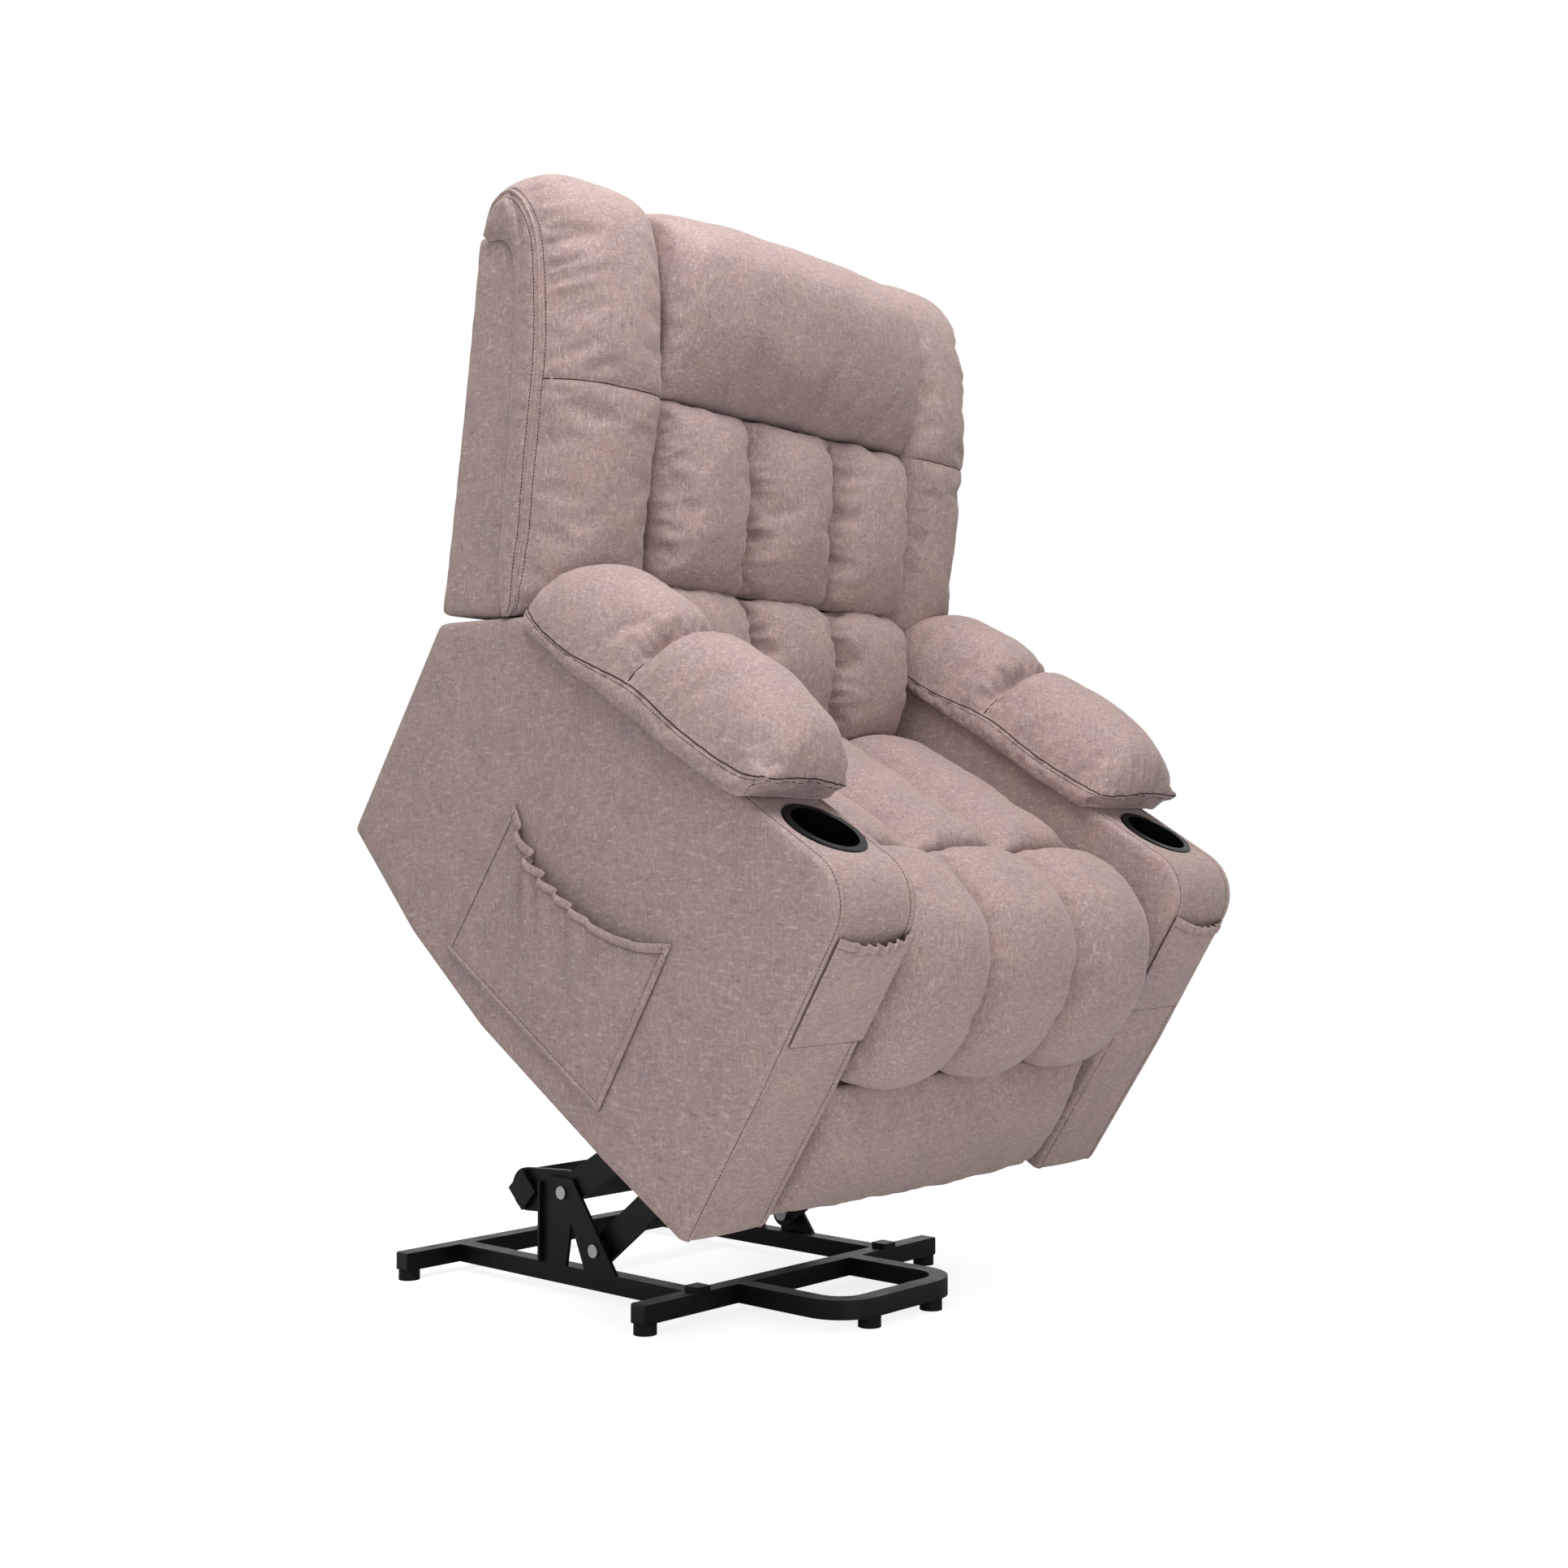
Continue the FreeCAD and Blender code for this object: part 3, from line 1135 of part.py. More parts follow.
def make_wing(word, side):
    """A side bolster of the back in two panels, with a seam across it at head height."""
    seam = size("wing_seam")
    half = size("back_half")
    low_front, low_rear = size("row_seam") - 3, size("cover_low") + size("wing_lift")
    head = size("head_seam")
    depth, crown, drop = size("wing_depth"), size("wing_crown"), size("wing_corner_drop")
    wires = []
    # each station's place across, depth, crown and drop below the top
    stations = [(seam + size("thin_gap"), depth, 0.23 * crown, 0.67 * drop),
                (seam + size("wing_roll"), depth + 2, crown, 0), (half - size("wing_flat"), depth, 0.92 * crown, 0),
                (half - size("wing_edge"), size("wing_brow_depth"), 0.54 * crown, 0.33 * drop),
                (half, size("wing_edge_depth"), 0.12 * crown, drop)]
    for x, depth, crown, drop in stations:
        wires.append(outline(side * x, (back_face, low_rear), (-depth, low_front),
                             (-depth - crown, blend(low_front, head, 0.5), -depth - crown * 0.4, head),
                             *over_the_top(x, head, depth + crown * 0.2, crown * 0.8, drop)))
    soft("wing_" + word, wires, on_back)


def make_footrest():
    fold = radians("link_fold")
    knee = vector(0, size("link_back") - size("link_length") * math.cos(fold),
                  size("link_height") - size("link_length") * math.sin(fold))
    panel_pivot = vector(0, size("panel_pivot_back"), size("panel_pivot_height"))
    reach = panel_pivot - knee
    front_length = math.hypot(reach.y, reach.z)
    stud = "sizes.rivet_diameter + 2 * sizes.pivot_play"
    rear_turn = math.degrees(math.atan2(-(knee.z - size("link_height")), -(knee.y - size("link_back"))))
    front_turn = math.degrees(math.atan2(-reach.z, -reach.y))
    for word, side in (("right", -1), ("left", 1)):
        name = "footrest_rear_link_" + word
        x = -link_face - size("plate_thick") if side < 0 else link_face
        bar = fuse(name + "_bar", ball_end_bar(name + "_flat", x, "sizes.link_length", "sizes.link_width",
                                               "sizes.plate_thick"))
        hole = rod(name + "_hole", "sizes.torque_tube_diameter + 2 * sizes.pivot_play", "sizes.plate_thick",
                   vector(x, 0, 0))
        start = link_face + size("plate_thick") / 2
        shoulder = front_link_face - size("thin_gap")
        end = front_link_face + size("plate_thick") + size("thin_gap")
        rivet = fuse(name + "_rivet", [
            rod_between(name + "_shoulder", "sizes.link_width", side * start, side * shoulder,
                        -size("link_length"), 0),
            rod_between(name + "_pin", "sizes.rivet_diameter", side * start, side * end,
                        -size("link_length"), 0)])
        solid = fuse(name + "_solid", [cut(name + "_drilled", bar, hole), rivet])
        solid.Placement = on_frame.multiply(place(0, size("link_back"), size("link_height"), rear_turn))
        keep(name, solid)
        name = "footrest_front_link_" + word
        x = -front_link_face - size("plate_thick") if side < 0 else front_link_face
        bar = fuse(name + "_bar", ball_end_bar(name + "_flat", x, str(front_length), "sizes.link_width",
                                               "sizes.plate_thick"))
        hole = rod(name + "_hole", stud, "sizes.plate_thick", vector(x, 0, 0))
        start = front_link_face + size("plate_thick") / 2
        end = lug_face + size("plate_thick") + size("thin_gap")
        pin = rod_between(name + "_pin", "sizes.rivet_diameter", side * start, side * end, -front_length, 0)
        solid = fuse(name + "_solid", [cut(name + "_drilled", bar, hole), pin])
        solid.Placement = on_frame.multiply(place(0, knee.y, knee.z, front_turn))
        keep(name, solid)
    reach_x = link_face + size("plate_thick")
    tube = rod("torque_outer", "sizes.torque_tube_diameter", str(2 * reach_x),
               vector(-reach_x, size("link_back"), size("link_height")))
    bore = rod("torque_inner", "sizes.torque_tube_diameter - 2 * sizes.bar_wall",
               str(2 * reach_x - 2 * size("bar_wall")),
               vector(-reach_x + size("bar_wall"), size("link_back"), size("link_height")))
    keep("footrest_torque_tube", cut("footrest_torque_tube", tube, bore, on_frame))
    make_panel(panel_pivot)


def make_panel(panel_pivot):
    """The footrest's board with a hinge lug near each end, and its pad."""
    face = size("panel_face")
    rear = face + size("panel_board")
    low, high = size("panel_low"), size("panel_high")
    board = box("panel_board", ["-sizes.panel_half", "sizes.panel_face", "sizes.panel_low + 3"],
                ["2 * sizes.panel_half", "sizes.panel_board", "sizes.panel_high - sizes.panel_low - 6"])
    pieces = [board]
    holes = []
    for side in (-1, 1):
        x = min(side * lug_face, side * (lug_face + size("plate_thick")))
        tag = "lug_%d" % (side + 1)
        lug = box(tag, [str(x), str(rear - 1), str(panel_pivot.z) + " - sizes.link_width / 2"],
                  ["sizes.plate_thick", str(panel_pivot.y - rear + 1), "sizes.link_width"])
        tip = rod(tag + "_tip", "sizes.link_width", "sizes.plate_thick", vector(x, panel_pivot.y, panel_pivot.z))
        pieces += [lug, tip]
        holes.append(rod(tag + "_hole", "sizes.rivet_diameter + 2 * sizes.pivot_play", "sizes.plate_thick + 4",
                         vector(x - 2, panel_pivot.y, panel_pivot.z)))
    keep("footrest_board", cut("footrest_board", fuse("panel_solid", pieces), fuse("panel_holes", holes),
                               on_frame))
    half = size("panel_half") + 4
    pad_rear = face - size("thin_gap")
    middle = (low + high) / 2
    wires = []
    for x, share in ((-half, 0.45), (-half + 24, 0.9), (0, 1.0), (half - 24, 0.9), (half, 0.45)):
        crown = size("panel_crown") * share
        trim = 10 * (1 - share)
        wires.append(outline(x, (pad_rear, low + trim), (pad_rear - 4, low - 2 + trim),
                             (pad_rear - crown, middle, pad_rear - 8, high + 1 - trim), (pad_rear, high - trim)))
    soft("footrest_pad", wires, on_frame)


def make_handset():
    """The handset stands in the left side pocket with its two buttons above the hem."""
    x = size("span") / 2 + 2 * size("thin_gap") + 1
    y = size("handset_back") - size("handset_width") / 2
    z = size("handset_low")
    shell = doc.addObject("Part::Box", "handset_block")
    shell.setExpression("Length", "sizes.handset_thick")
    shell.setExpression("Width", "sizes.handset_width")
    shell.setExpression("Height", "sizes.handset_length")
    shell.Placement = place(x, y, z)
    doc.recompute()
    rounded = doc.addObject("Part::Fillet", "handset_round")
    rounded.Base = shell
    rounded.Edges = [(number, 4.0, 4.0) for number in (9, 10, 11, 12)]
    face = x + size("handset_thick")
    centre = size("handset_back")
    front_top = side_pocket_corners()[1]
    (far_y, far_z), (near_y, near_z) = front_top[2], front_top[3]
    hem = blend(near_z, far_z, (centre - near_y) / (far_y - near_y)) + 2
    hem_face = size("span") / 2 + size("pocket_standoff") + 2 * size("thin_gap")
    clip_side = centre - size("clip_width") / 2
    bridge = box("handset_bridge", [str(face - 2), str(clip_side), str(hem)],
                 [str(hem_face - face + 2) + " + sizes.clip_thick", "sizes.clip_width", "3"])
    tongue = box("handset_tongue", [str(hem_face), str(clip_side), str(hem + 3) + " - sizes.clip_reach"],
                 ["sizes.clip_thick", "sizes.clip_width", "sizes.clip_reach"])
    wells = []
    for word, up in (("up", 24.0), ("down", 50.0)):
        level = z + size("handset_length") - up
        wells.append(rod("well_" + word, "sizes.button_diameter + 0.4", "5", vector(face - 4, centre, level)))
        button = rod("button_" + word + "_body", "sizes.button_diameter", "sizes.button_travel + 2.2",
                     vector(face - 1.7, centre, level))
        keep("button_" + word, group("button_" + word, [button], on_frame))
    solid = fuse("handset_solid", [rounded, bridge, tongue])
    keep("handset_shell", cut("handset_shell", solid, fuse("handset_wells", wells), on_frame))


make_base()
make_towers()
make_upper_arms()
make_arm_tubes()
make_lower_arms()
make_motor()
make_seat_frame()
make_seat_box()
make_seat_cushions()
make_arms()
make_pockets()
make_back_frame()
make_back_cover()
make_back_cushions()
make_footrest()
make_handset()
doc.recompute()

faults = [item.Name for item in doc.Objects if "Invalid" in item.State or "Error" in item.State]
if faults:
    raise RuntimeError("objects that failed: " + ", ".join(faults))
for node, item in sorted(made.items()):
    shape = item.Shape
    if shape.isNull() or not shape.isValid() or not shape.Solids:
        raise RuntimeError(node + " has no valid solid")
for node, item in sorted(made.items()):
    item.Shape.exportStep("parts/%s.step" % node)
print(len(made), "nodes")
print("motor length", round(motor_length_now, 2), "slope", round(motor_slope, 3))
print("upper mount", [round(v, 3) for v in upper_mount], "anchor", [round(v, 3) for v in anchor])
print("crank pin", [round(v, 3) for v in crank_pin])
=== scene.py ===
# Lift recliner chair, raised: padding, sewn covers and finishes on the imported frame. Metres.
import bpy
import json
import math
import numpy as np
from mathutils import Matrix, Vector


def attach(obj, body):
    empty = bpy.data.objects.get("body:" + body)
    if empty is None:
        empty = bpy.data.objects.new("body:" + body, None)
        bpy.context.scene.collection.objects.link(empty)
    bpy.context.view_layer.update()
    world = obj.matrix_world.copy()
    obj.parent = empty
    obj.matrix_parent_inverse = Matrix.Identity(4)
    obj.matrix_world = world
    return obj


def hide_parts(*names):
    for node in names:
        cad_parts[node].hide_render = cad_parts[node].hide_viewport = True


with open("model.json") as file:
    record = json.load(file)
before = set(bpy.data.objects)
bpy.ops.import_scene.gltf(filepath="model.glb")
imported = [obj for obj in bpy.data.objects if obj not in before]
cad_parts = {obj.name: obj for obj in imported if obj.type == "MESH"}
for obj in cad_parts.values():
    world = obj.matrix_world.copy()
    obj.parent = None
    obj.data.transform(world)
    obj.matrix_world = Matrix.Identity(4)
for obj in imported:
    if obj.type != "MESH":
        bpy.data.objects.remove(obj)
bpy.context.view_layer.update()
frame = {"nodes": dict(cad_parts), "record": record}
wobble = np.random.default_rng(11)
mirror = (-1, 1, 1)  # left to right
bothSides = (("Right", -1), ("Left", 1))

partFrames = {
    "seat": {"origin": (0.0, -0.2255, 0.1617), "tilt": 31.3},  # x left, y rearwards, z up from the arms' underside
    "back": {"origin": (0.0, 0.151882, 0.70363), "tilt": 6.3},  # y rearwards, z up from the back's hinge
    "base": {"origin": (0.0, 0.0, 0.0), "tilt": 0.0},
}


def toWorld(local, part):
    # turns points in millimetres about X by the part's tilt, then adds its origin in metres
    tilt = math.radians(partFrames[part]["tilt"])
    x, y, z = np.moveaxis(np.asarray(local, float) * 0.001, -1, 0)
    turned = [x, y * math.cos(tilt) - z * math.sin(tilt), y * math.sin(tilt) + z * math.cos(tilt)]
    return np.stack(turned, axis=-1) + np.array(partFrames[part]["origin"])


def toLocal(points, part):
    # the way back: from metres in the world to the part's own millimetres
    tilt = math.radians(partFrames[part]["tilt"])
    x, y, z = np.moveaxis(np.asarray(points, float) - np.array(partFrames[part]["origin"]), -1, 0)
    turned = [x, y * math.cos(tilt) + z * math.sin(tilt), z * math.cos(tilt) - y * math.sin(tilt)]
    return np.stack(turned, axis=-1) * 1000.0


def quadsOf(ids):
    # every square of a grid of vertex numbers, its corners in turn
    return np.stack([ids[:-1, :-1], ids[1:, :-1], ids[1:, 1:], ids[:-1, 1:]], axis=-1).reshape(-1, 4)


def boxGrid(na, nb, nc):
    # the six sides of a block of na x nb x nc points as one closed skin: vertex places and squares
    a, b, c = np.meshgrid(np.arange(na), np.arange(nb), np.arange(nc), indexing="ij")
    skin = (a == 0) | (a == na - 1) | (b == 0) | (b == nb - 1) | (c == 0) | (c == nc - 1)
    number = np.full(skin.shape, -1)
    number[skin] = np.arange(skin.sum())
    sides = [number[-1], number[0].T, number[:, -1].T, number[:, 0], number[:, :, -1], number[:, :, 0].T]
    return a[skin], b[skin], c[skin], np.concatenate([quadsOf(side) for side in sides])


def numbersOf(counts):
    # the vertex number at each place of a block grid
    number = np.full([k.max() + 1 for k in counts], -1)
    number[counts] = np.arange(len(counts[0]))
    return number


def unitRows(vectors):
    # each row brought to length one
    return vectors / np.linalg.norm(vectors, axis=1, keepdims=True)


def squareTo(slope):
    # unit vectors a quarter turn from the given ones, in their plane
    return unitRows(np.stack([slope[:, 1], -slope[:, 0]], axis=-1))


def signedVolume(points, quads):
    # sixfold volume by the divergence theorem: positive where the faces point outwards
    p, q, r, s = (points[quads[:, k]] for k in range(4))
    return float(np.sum(np.cross(p, q) * r) + np.sum(np.cross(p, r) * s))


def addObject(name, data):
    thing = bpy.data.objects.new(name, data)
    bpy.context.scene.collection.objects.link(thing)
    return thing


def makePiece(name, points, quads, finish, closed=True, smooth=True):
    # puts points and squares into a mesh, turned outwards if closed; a corner that is written twice is one
    points = np.asarray(points, float).reshape(-1, 3)
    if closed and signedVolume(points, quads) < 0:
        quads = quads[:, ::-1]
    mesh = bpy.data.meshes.new(name)
    mesh.from_pydata(points.tolist(), [], [list(dict.fromkeys(face)) for face in quads.tolist()])
    mesh.materials.append(finish)
    mesh.polygons.foreach_set("use_smooth", [smooth] * len(mesh.polygons))
    mesh.update()
    return addObject(name, mesh)


def evenSteps(dense, count):
    # the same line in even steps of its length
    walked = np.concatenate([[0], np.cumsum(np.linalg.norm(np.diff(dense, axis=0), axis=1))])
    stops = np.linspace(0, walked[-1], count)
    return np.stack([np.interp(stops, walked, dense[:, k]) for k in range(dense.shape[1])], axis=-1)


def smoothLine(knots, count):
    # a Catmull-Rom curve through the knots, walked again in even steps
    knots = np.asarray(knots, float)
    ends = np.vstack([2 * knots[0] - knots[1], knots, 2 * knots[-1] - knots[-2]])
    t = np.linspace(0, 1, 16, endpoint=False)[:, None, None]
    p0, p1, p2, p3 = (ends[k:len(ends) - 3 + k][None] for k in range(4))
    run = 0.5 * (2 * p1 + (p2 - p0) * t + (2 * p0 - 5 * p1 + 4 * p2 - p3) * t ** 2
                 + (3 * p1 - p0 - 3 * p2 + p3) * t ** 3)
    dense = np.vstack([np.swapaxes(run, 0, 1).reshape(-1, knots.shape[1]), knots[-1:]])
    return evenSteps(dense, count)


def crownShare(t, power):
    # 0 at both ends of a run from 0 to 1, and a full round between them
    return np.clip(1 - np.abs(2 * t - 1) ** power, 0, 1) ** 0.5


def acrossSeams(seams, step):
    # stations across a row of channels with one on each seam, and each one's place in its channel
    stations, places, onSeam = [], [], []
    for low, high in zip(seams[:-1], seams[1:]):
        count = max(4, round(abs(high - low) / step))
        t = 0.5 - 0.5 * np.cos(np.pi * np.arange(count) / count)
        t = 0.55 * t + 0.45 * np.arange(count) / count
        stations.append(low + (high - low) * t)
        places.append(t)
        onSeam.append(np.arange(count) == 0)
    return np.concatenate(stations + [[seams[-1]]]), np.concatenate(places + [[1.0]]), \
        np.concatenate(onSeam + [[True]])


# small forms that are pressed into a finished skin, as heights in millimetres


def valley(distance, width, depth):
    return -depth * np.exp(-(distance / width) ** 2)


def unevenness(local, size, length, seed):
    # a few slow waves in random directions
    draw = np.random.default_rng(seed)
    total = np.zeros(len(local))
    for _ in range(5):
        way = draw.normal(size=3)
        phase = local @ (way / np.linalg.norm(way)) * 2 * np.pi / (length * draw.uniform(0.7, 1.5))
        total += np.sin(phase + draw.uniform(0, 2 * np.pi))
    return size * total / 5 ** 0.5


def gathersAlong(run, off, low, high, count, seed, reach, width, depth, lean=(-0.35, 0.35)):
    # short folds square to a seam: ridges at uneven places along it that widen and fade with the distance
    draw = np.random.default_rng(seed)
    height = np.zeros(len(run))
    step = (high - low) / count
    for k in range(count):
        place = low + step * (k + draw.uniform(0.1, 0.9))
        slant, far = draw.uniform(*lean), reach * draw.uniform(0.6, 1.25)
        wide, tall = width * draw.uniform(0.75, 1.35), depth * draw.uniform(0.45, 1.0)
        aside = (run - place - slant * off) / (wide * (1 + off / far))
        height += tall * (np.exp(-aside ** 2) - 0.45 * np.exp(-(aside / 2.2) ** 2)) * np.exp(-(off / far) ** 2)
    return height * np.clip(off / 5.0, 0.0, 1.0)


def foldsFrom(a, b, corner, angles, reach, depth):
    # folds that run out from a corner: ridges about rays at the given angles
    across, up = a - corner[0], b - corner[1]
    away = np.hypot(across, up)
    bearing = np.arctan2(up, across)
    height = np.zeros(len(a))
    for angle in angles:
        aside = np.abs((bearing - math.radians(angle) + np.pi) % (2 * np.pi) - np.pi)
        height += depth * np.exp(-(aside * away / (4.5 + 0.1 * away)) ** 2)
    return height * np.exp(-(away / reach) ** 2) * np.clip(away / 10.0, 0, 1)


puffJobs = []  # pressure, spare length as a share, and the cap on a move in metres
puffSettings = {"quality": 5, "mass": 0.3, "tension_stiffness": 18, "compression_stiffness": 18, "shear_stiffness": 8,
                "bending_stiffness": 1.2, "use_pressure": True, "vertex_group_mass": "held"}
puffSteps = 18


def puffLater(piece, held, pressure, spare, cap, twin=None):
    puffJobs.append({"piece": piece, "held": held, "pressure": pressure, "spare": spare, "cap": cap, "twin": twin})


def puffAll():
    # cloth with air pressure and spare length between held seams swells and puckers; moves are capped
    scene = bpy.context.scene
    for job in puffJobs:
        piece = job["piece"]
        group = piece.vertex_groups.new(name="held")
        group.add([int(k) for k in np.flatnonzero(job["held"])], 1.0, "REPLACE")
        cloth = piece.modifiers.new("fabric", "CLOTH")
        for key, value in puffSettings.items():
            setattr(cloth.settings, key, value)
        cloth.settings.uniform_pressure_force = job["pressure"]
        cloth.settings.shrink_min = -job["spare"]
        cloth.settings.effector_weights.gravity = 0
        cloth.collision_settings.use_collision = False
        cloth.collision_settings.use_self_collision = False
        cloth.point_cache.frame_start = 1
        cloth.point_cache.frame_end = puffSteps
    for step in range(1, puffSteps + 1):
        scene.frame_set(step)
    graph = bpy.context.evaluated_depsgraph_get()
    for job in puffJobs:
        piece = job["piece"]
        before = pointsOf(piece)
        after = np.empty(before.size)
        piece.evaluated_get(graph).data.vertices.foreach_get("co", after)
        move = after.reshape(-1, 3) - before
        reach = np.linalg.norm(move, axis=1, keepdims=True)
        job["result"] = before + move * np.tanh(reach / job["cap"]) * job["cap"] / np.maximum(reach, 1e-9)
    for job in puffJobs:
        job["piece"].modifiers.remove(job["piece"].modifiers["fabric"])
        job["piece"].vertex_groups.clear()
        setPoints(job["piece"], job["result"])
        if job["twin"]:
            setPoints(job["twin"], job["result"] * mirror)
    scene.frame_set(1)


def setPoints(piece, points):
    piece.data.vertices.foreach_set("co", np.asarray(points, float).ravel())
    piece.data.update()


def pointsOf(piece):
    flat = np.empty(len(piece.data.vertices) * 3)
    piece.data.vertices.foreach_get("co", flat)
    return flat.reshape(-1, 3)


def sharpen(piece, chosen, amount=1.0):
    # keeps the edges between chosen vertices crisp when the skin is subdivided
    mesh = piece.data
    ends = np.empty(len(mesh.edges) * 2, int)
    mesh.edges.foreach_get("vertices", ends)
    crease = mesh.attributes.new("crease_edge", "FLOAT", "EDGE")
    crease.data.foreach_set("value", chosen[ends.reshape(-1, 2)].all(axis=1) * float(amount))


def makeReal(piece):
    # the mesh as its modifiers leave it takes the place of the old one
    fresh = bpy.data.meshes.new_from_object(piece.evaluated_get(bpy.context.evaluated_depsgraph_get()))
    piece.modifiers.clear()
    old, piece.data = piece.data, fresh
    bpy.data.meshes.remove(old)
    return fresh


def settle(piece, part, relief=None):
    # one subdivision made real, then each point moves out by the relief at its own place
    smoother = piece.modifiers.new("smooth", "SUBSURF")
    smoother.levels = smoother.render_levels = 1
    fresh = makeReal(piece)
    fresh.name = piece.name
    if relief:
        points = pointsOf(piece)
        normals = np.empty(points.size)
        fresh.vertex_normals.foreach_get("vector", normals)
        height = relief(toLocal(points, part)) * 0.001
        setPoints(piece, points + normals.reshape(-1, 3) * height[:, None])


def makeTubes(name, lines, radius, finish, square=(1.0, 0.0, 0.0), sides=6):
    # thin beads along lines: circles square to each line, drawn in to a point past both ends
    points, quads, total = [], [], 0
    turn = np.linspace(0, 2 * np.pi, sides, endpoint=False)[None, :, None]
    for line in lines:
        ahead = unitRows(np.gradient(line, axis=0))
        side = unitRows(np.cross(ahead, square))
        up = np.cross(side, ahead)
        rings = line[:, None] + radius * (np.cos(turn) * side[:, None] + np.sin(turn) * up[:, None])
        tips = [line[:1] - ahead[:1] * radius * 0.6, line[-1:] + ahead[-1:] * radius * 0.6]
        count = len(line) * sides
        ids = np.arange(count).reshape(len(line), sides)
        ids = np.vstack([np.full((1, sides), count), ids, np.full((1, sides), count + 1)])
        points.append(np.vstack([rings.reshape(-1, 3), *tips]))
        quads.append(quadsOf(np.hstack([ids, ids[:, :1]])) + total)
        total += count + 2
    return makePiece(name, np.vstack(points), np.vstack(quads), finish)


askew = (0.31, 0.52, 0.79)  # a way that no seam runs along


def stitchesAlong(name, lines, finish, pitch, size):
    # short thread stitches along lines: each a slim spindle of three square rings
    stops = [evenSteps(line, max(3, int(lengthOf(line) / pitch))) for line in lines]
    start = np.vstack([stop[:-1] for stop in stops])
    end = np.vstack([stop[1:] for stop in stops])
    ahead = unitRows(end - start)
    side = unitRows(np.cross(ahead, askew))
    up = np.cross(side, ahead)
    turn = (np.arange(4) * np.pi / 2)[None, None, :, None]
    along = np.array([0.1, 0.5, 0.9])[None, :, None, None]
    girth = size * np.array([0.45, 1.0, 0.45])[None, :, None, None]
    middle = start[:, None, None] + (end - start)[:, None, None] * along
    points = middle + girth * (np.cos(turn) * side[:, None, None] + np.sin(turn) * up[:, None, None])
    ids = np.arange(len(start) * 12).reshape(len(start), 3, 4)
    around = np.concatenate([ids, ids[:, :, :1]], axis=2)
    walls = np.stack([around[:, :-1, :-1], around[:, 1:, :-1], around[:, 1:, 1:], around[:, :-1, 1:]], axis=-1)
    quads = np.vstack([walls.reshape(-1, 4), ids[:, 0, ::-1], ids[:, 2]])
    return makePiece(name, points, quads, finish)


def lengthOf(line):
    return float(np.sum(np.linalg.norm(np.diff(line, axis=0), axis=1)))


def roundedBlock(name, low, high, radius, counts, part, finish, reshape=None):
    # a block from a clamped core: each skin point stands off the core by the radius
    low, high = np.array(low, float), np.array(high, float)
    ia, ib, ic, quads = boxGrid(*counts)
    unit = np.column_stack([k / k.max() * 2 - 1 for k in (ia, ib, ic)])
    unit = np.sin(unit * np.pi / 2) * 0.35 + unit * 0.65
    half = (high - low) / 2
    block = unit * half
    core = np.clip(block, -(half - radius), half - radius)
    off = block - core
    block = core + off * radius / np.maximum(np.linalg.norm(off, axis=1, keepdims=True), 1e-9)
    local = block + (high + low) / 2
    if reshape:
        local = reshape(local, unit)
    return makePiece(name, toWorld(local, part), quads, finish), (ia, ib, ic)


# finishes


def toLinear(red, green, blue):
    # 8-bit display values to linear light
    share = np.array([red, green, blue]) / 255.0
    light = np.where(share <= 0.04045, share / 12.92, ((share + 0.055) / 1.055) ** 2.4)
    return (*light.tolist(), 1.0)


class Finish:
    # a node material with short ways to add and join nodes
    def __init__(self, name, **values):
        self.material = bpy.data.materials.new(name)
        self.material.use_nodes = True
        self.tree = self.material.node_tree
        self.shader = self.tree.nodes["Principled BSDF"]
        self.place = self.tree.nodes.new("ShaderNodeTexCoord").outputs["Object"]
        for socket, value in values.items():
            self.shader.inputs[socket.replace("_", " ")].default_value = value

    def fill(self, socket, value):
        if isinstance(value, bpy.types.NodeSocket):
            self.tree.links.new(value, socket)
        else:
            socket.default_value = value

    def add(self, kind, inputs=None, **settings):
        node = self.tree.nodes.new("ShaderNode" + kind)
        for key, value in settings.items():
            setattr(node, key, value)
        for key, value in (inputs or {}).items():
            self.fill(node.inputs[key], value)
        return node

    def noise(self, scale, detail=3.0, roughness=0.55, place=None, distortion=0.0):
        return self.add("TexNoise", {"Vector": place or self.place, "Scale": scale, "Detail": detail,
                                     "Roughness": roughness, "Distortion": distortion}).outputs["Fac"]

    def stretch(self, scale, turn=(0.0, 0.0, 0.0)):
        return self.add("Mapping", {"Vector": self.place, "Scale": scale, "Rotation": turn}).outputs["Vector"]

    def blend(self, share, first, second, mode="MIX"):
        node = self.add("Mix", data_type="RGBA", blend_type=mode)
        for socket, value in ((node.inputs[0], share), (node.inputs[6], first), (node.inputs[7], second)):
            self.fill(socket, value)
        return node.outputs[2]

    def spread(self, value, low, high, lowOut=0.0, highOut=1.0):
        return self.add("MapRange", {"Value": value, "From Min": low, "From Max": high, "To Min": lowOut,
                                     "To Max": highOut}).outputs["Result"]

    def sum(self, first, second, operation="ADD"):
        node = self.add("Math", operation=operation)
        for socket, value in zip(node.inputs, (first, second)):
            self.fill(socket, value)
        return node.outputs[0]

    def join(self, value, socket):
        self.tree.links.new(value, self.shader.inputs[socket])

    def wear(self, colour, rough, height, strength, distance):
        # joins the colour, the roughness where it varies, and the relief
        self.join(colour, "Base Color")
        if rough is not None:
            self.join(rough, "Roughness")
        bump = self.add("Bump", {"Height": height, "Strength": strength, "Distance": distance})
        self.join(bump.outputs["Normal"], "Normal")
        return self.material


fabricLook = {
    "cool": (153, 136, 137), "warm": (176, 152, 142), "pale": (218, 202, 194), "dark": (96, 80, 80),
    "cloudScale": 19.0, "patchScale": 60.0, "fibreScale": 560.0, "sheen": 0.30,
}


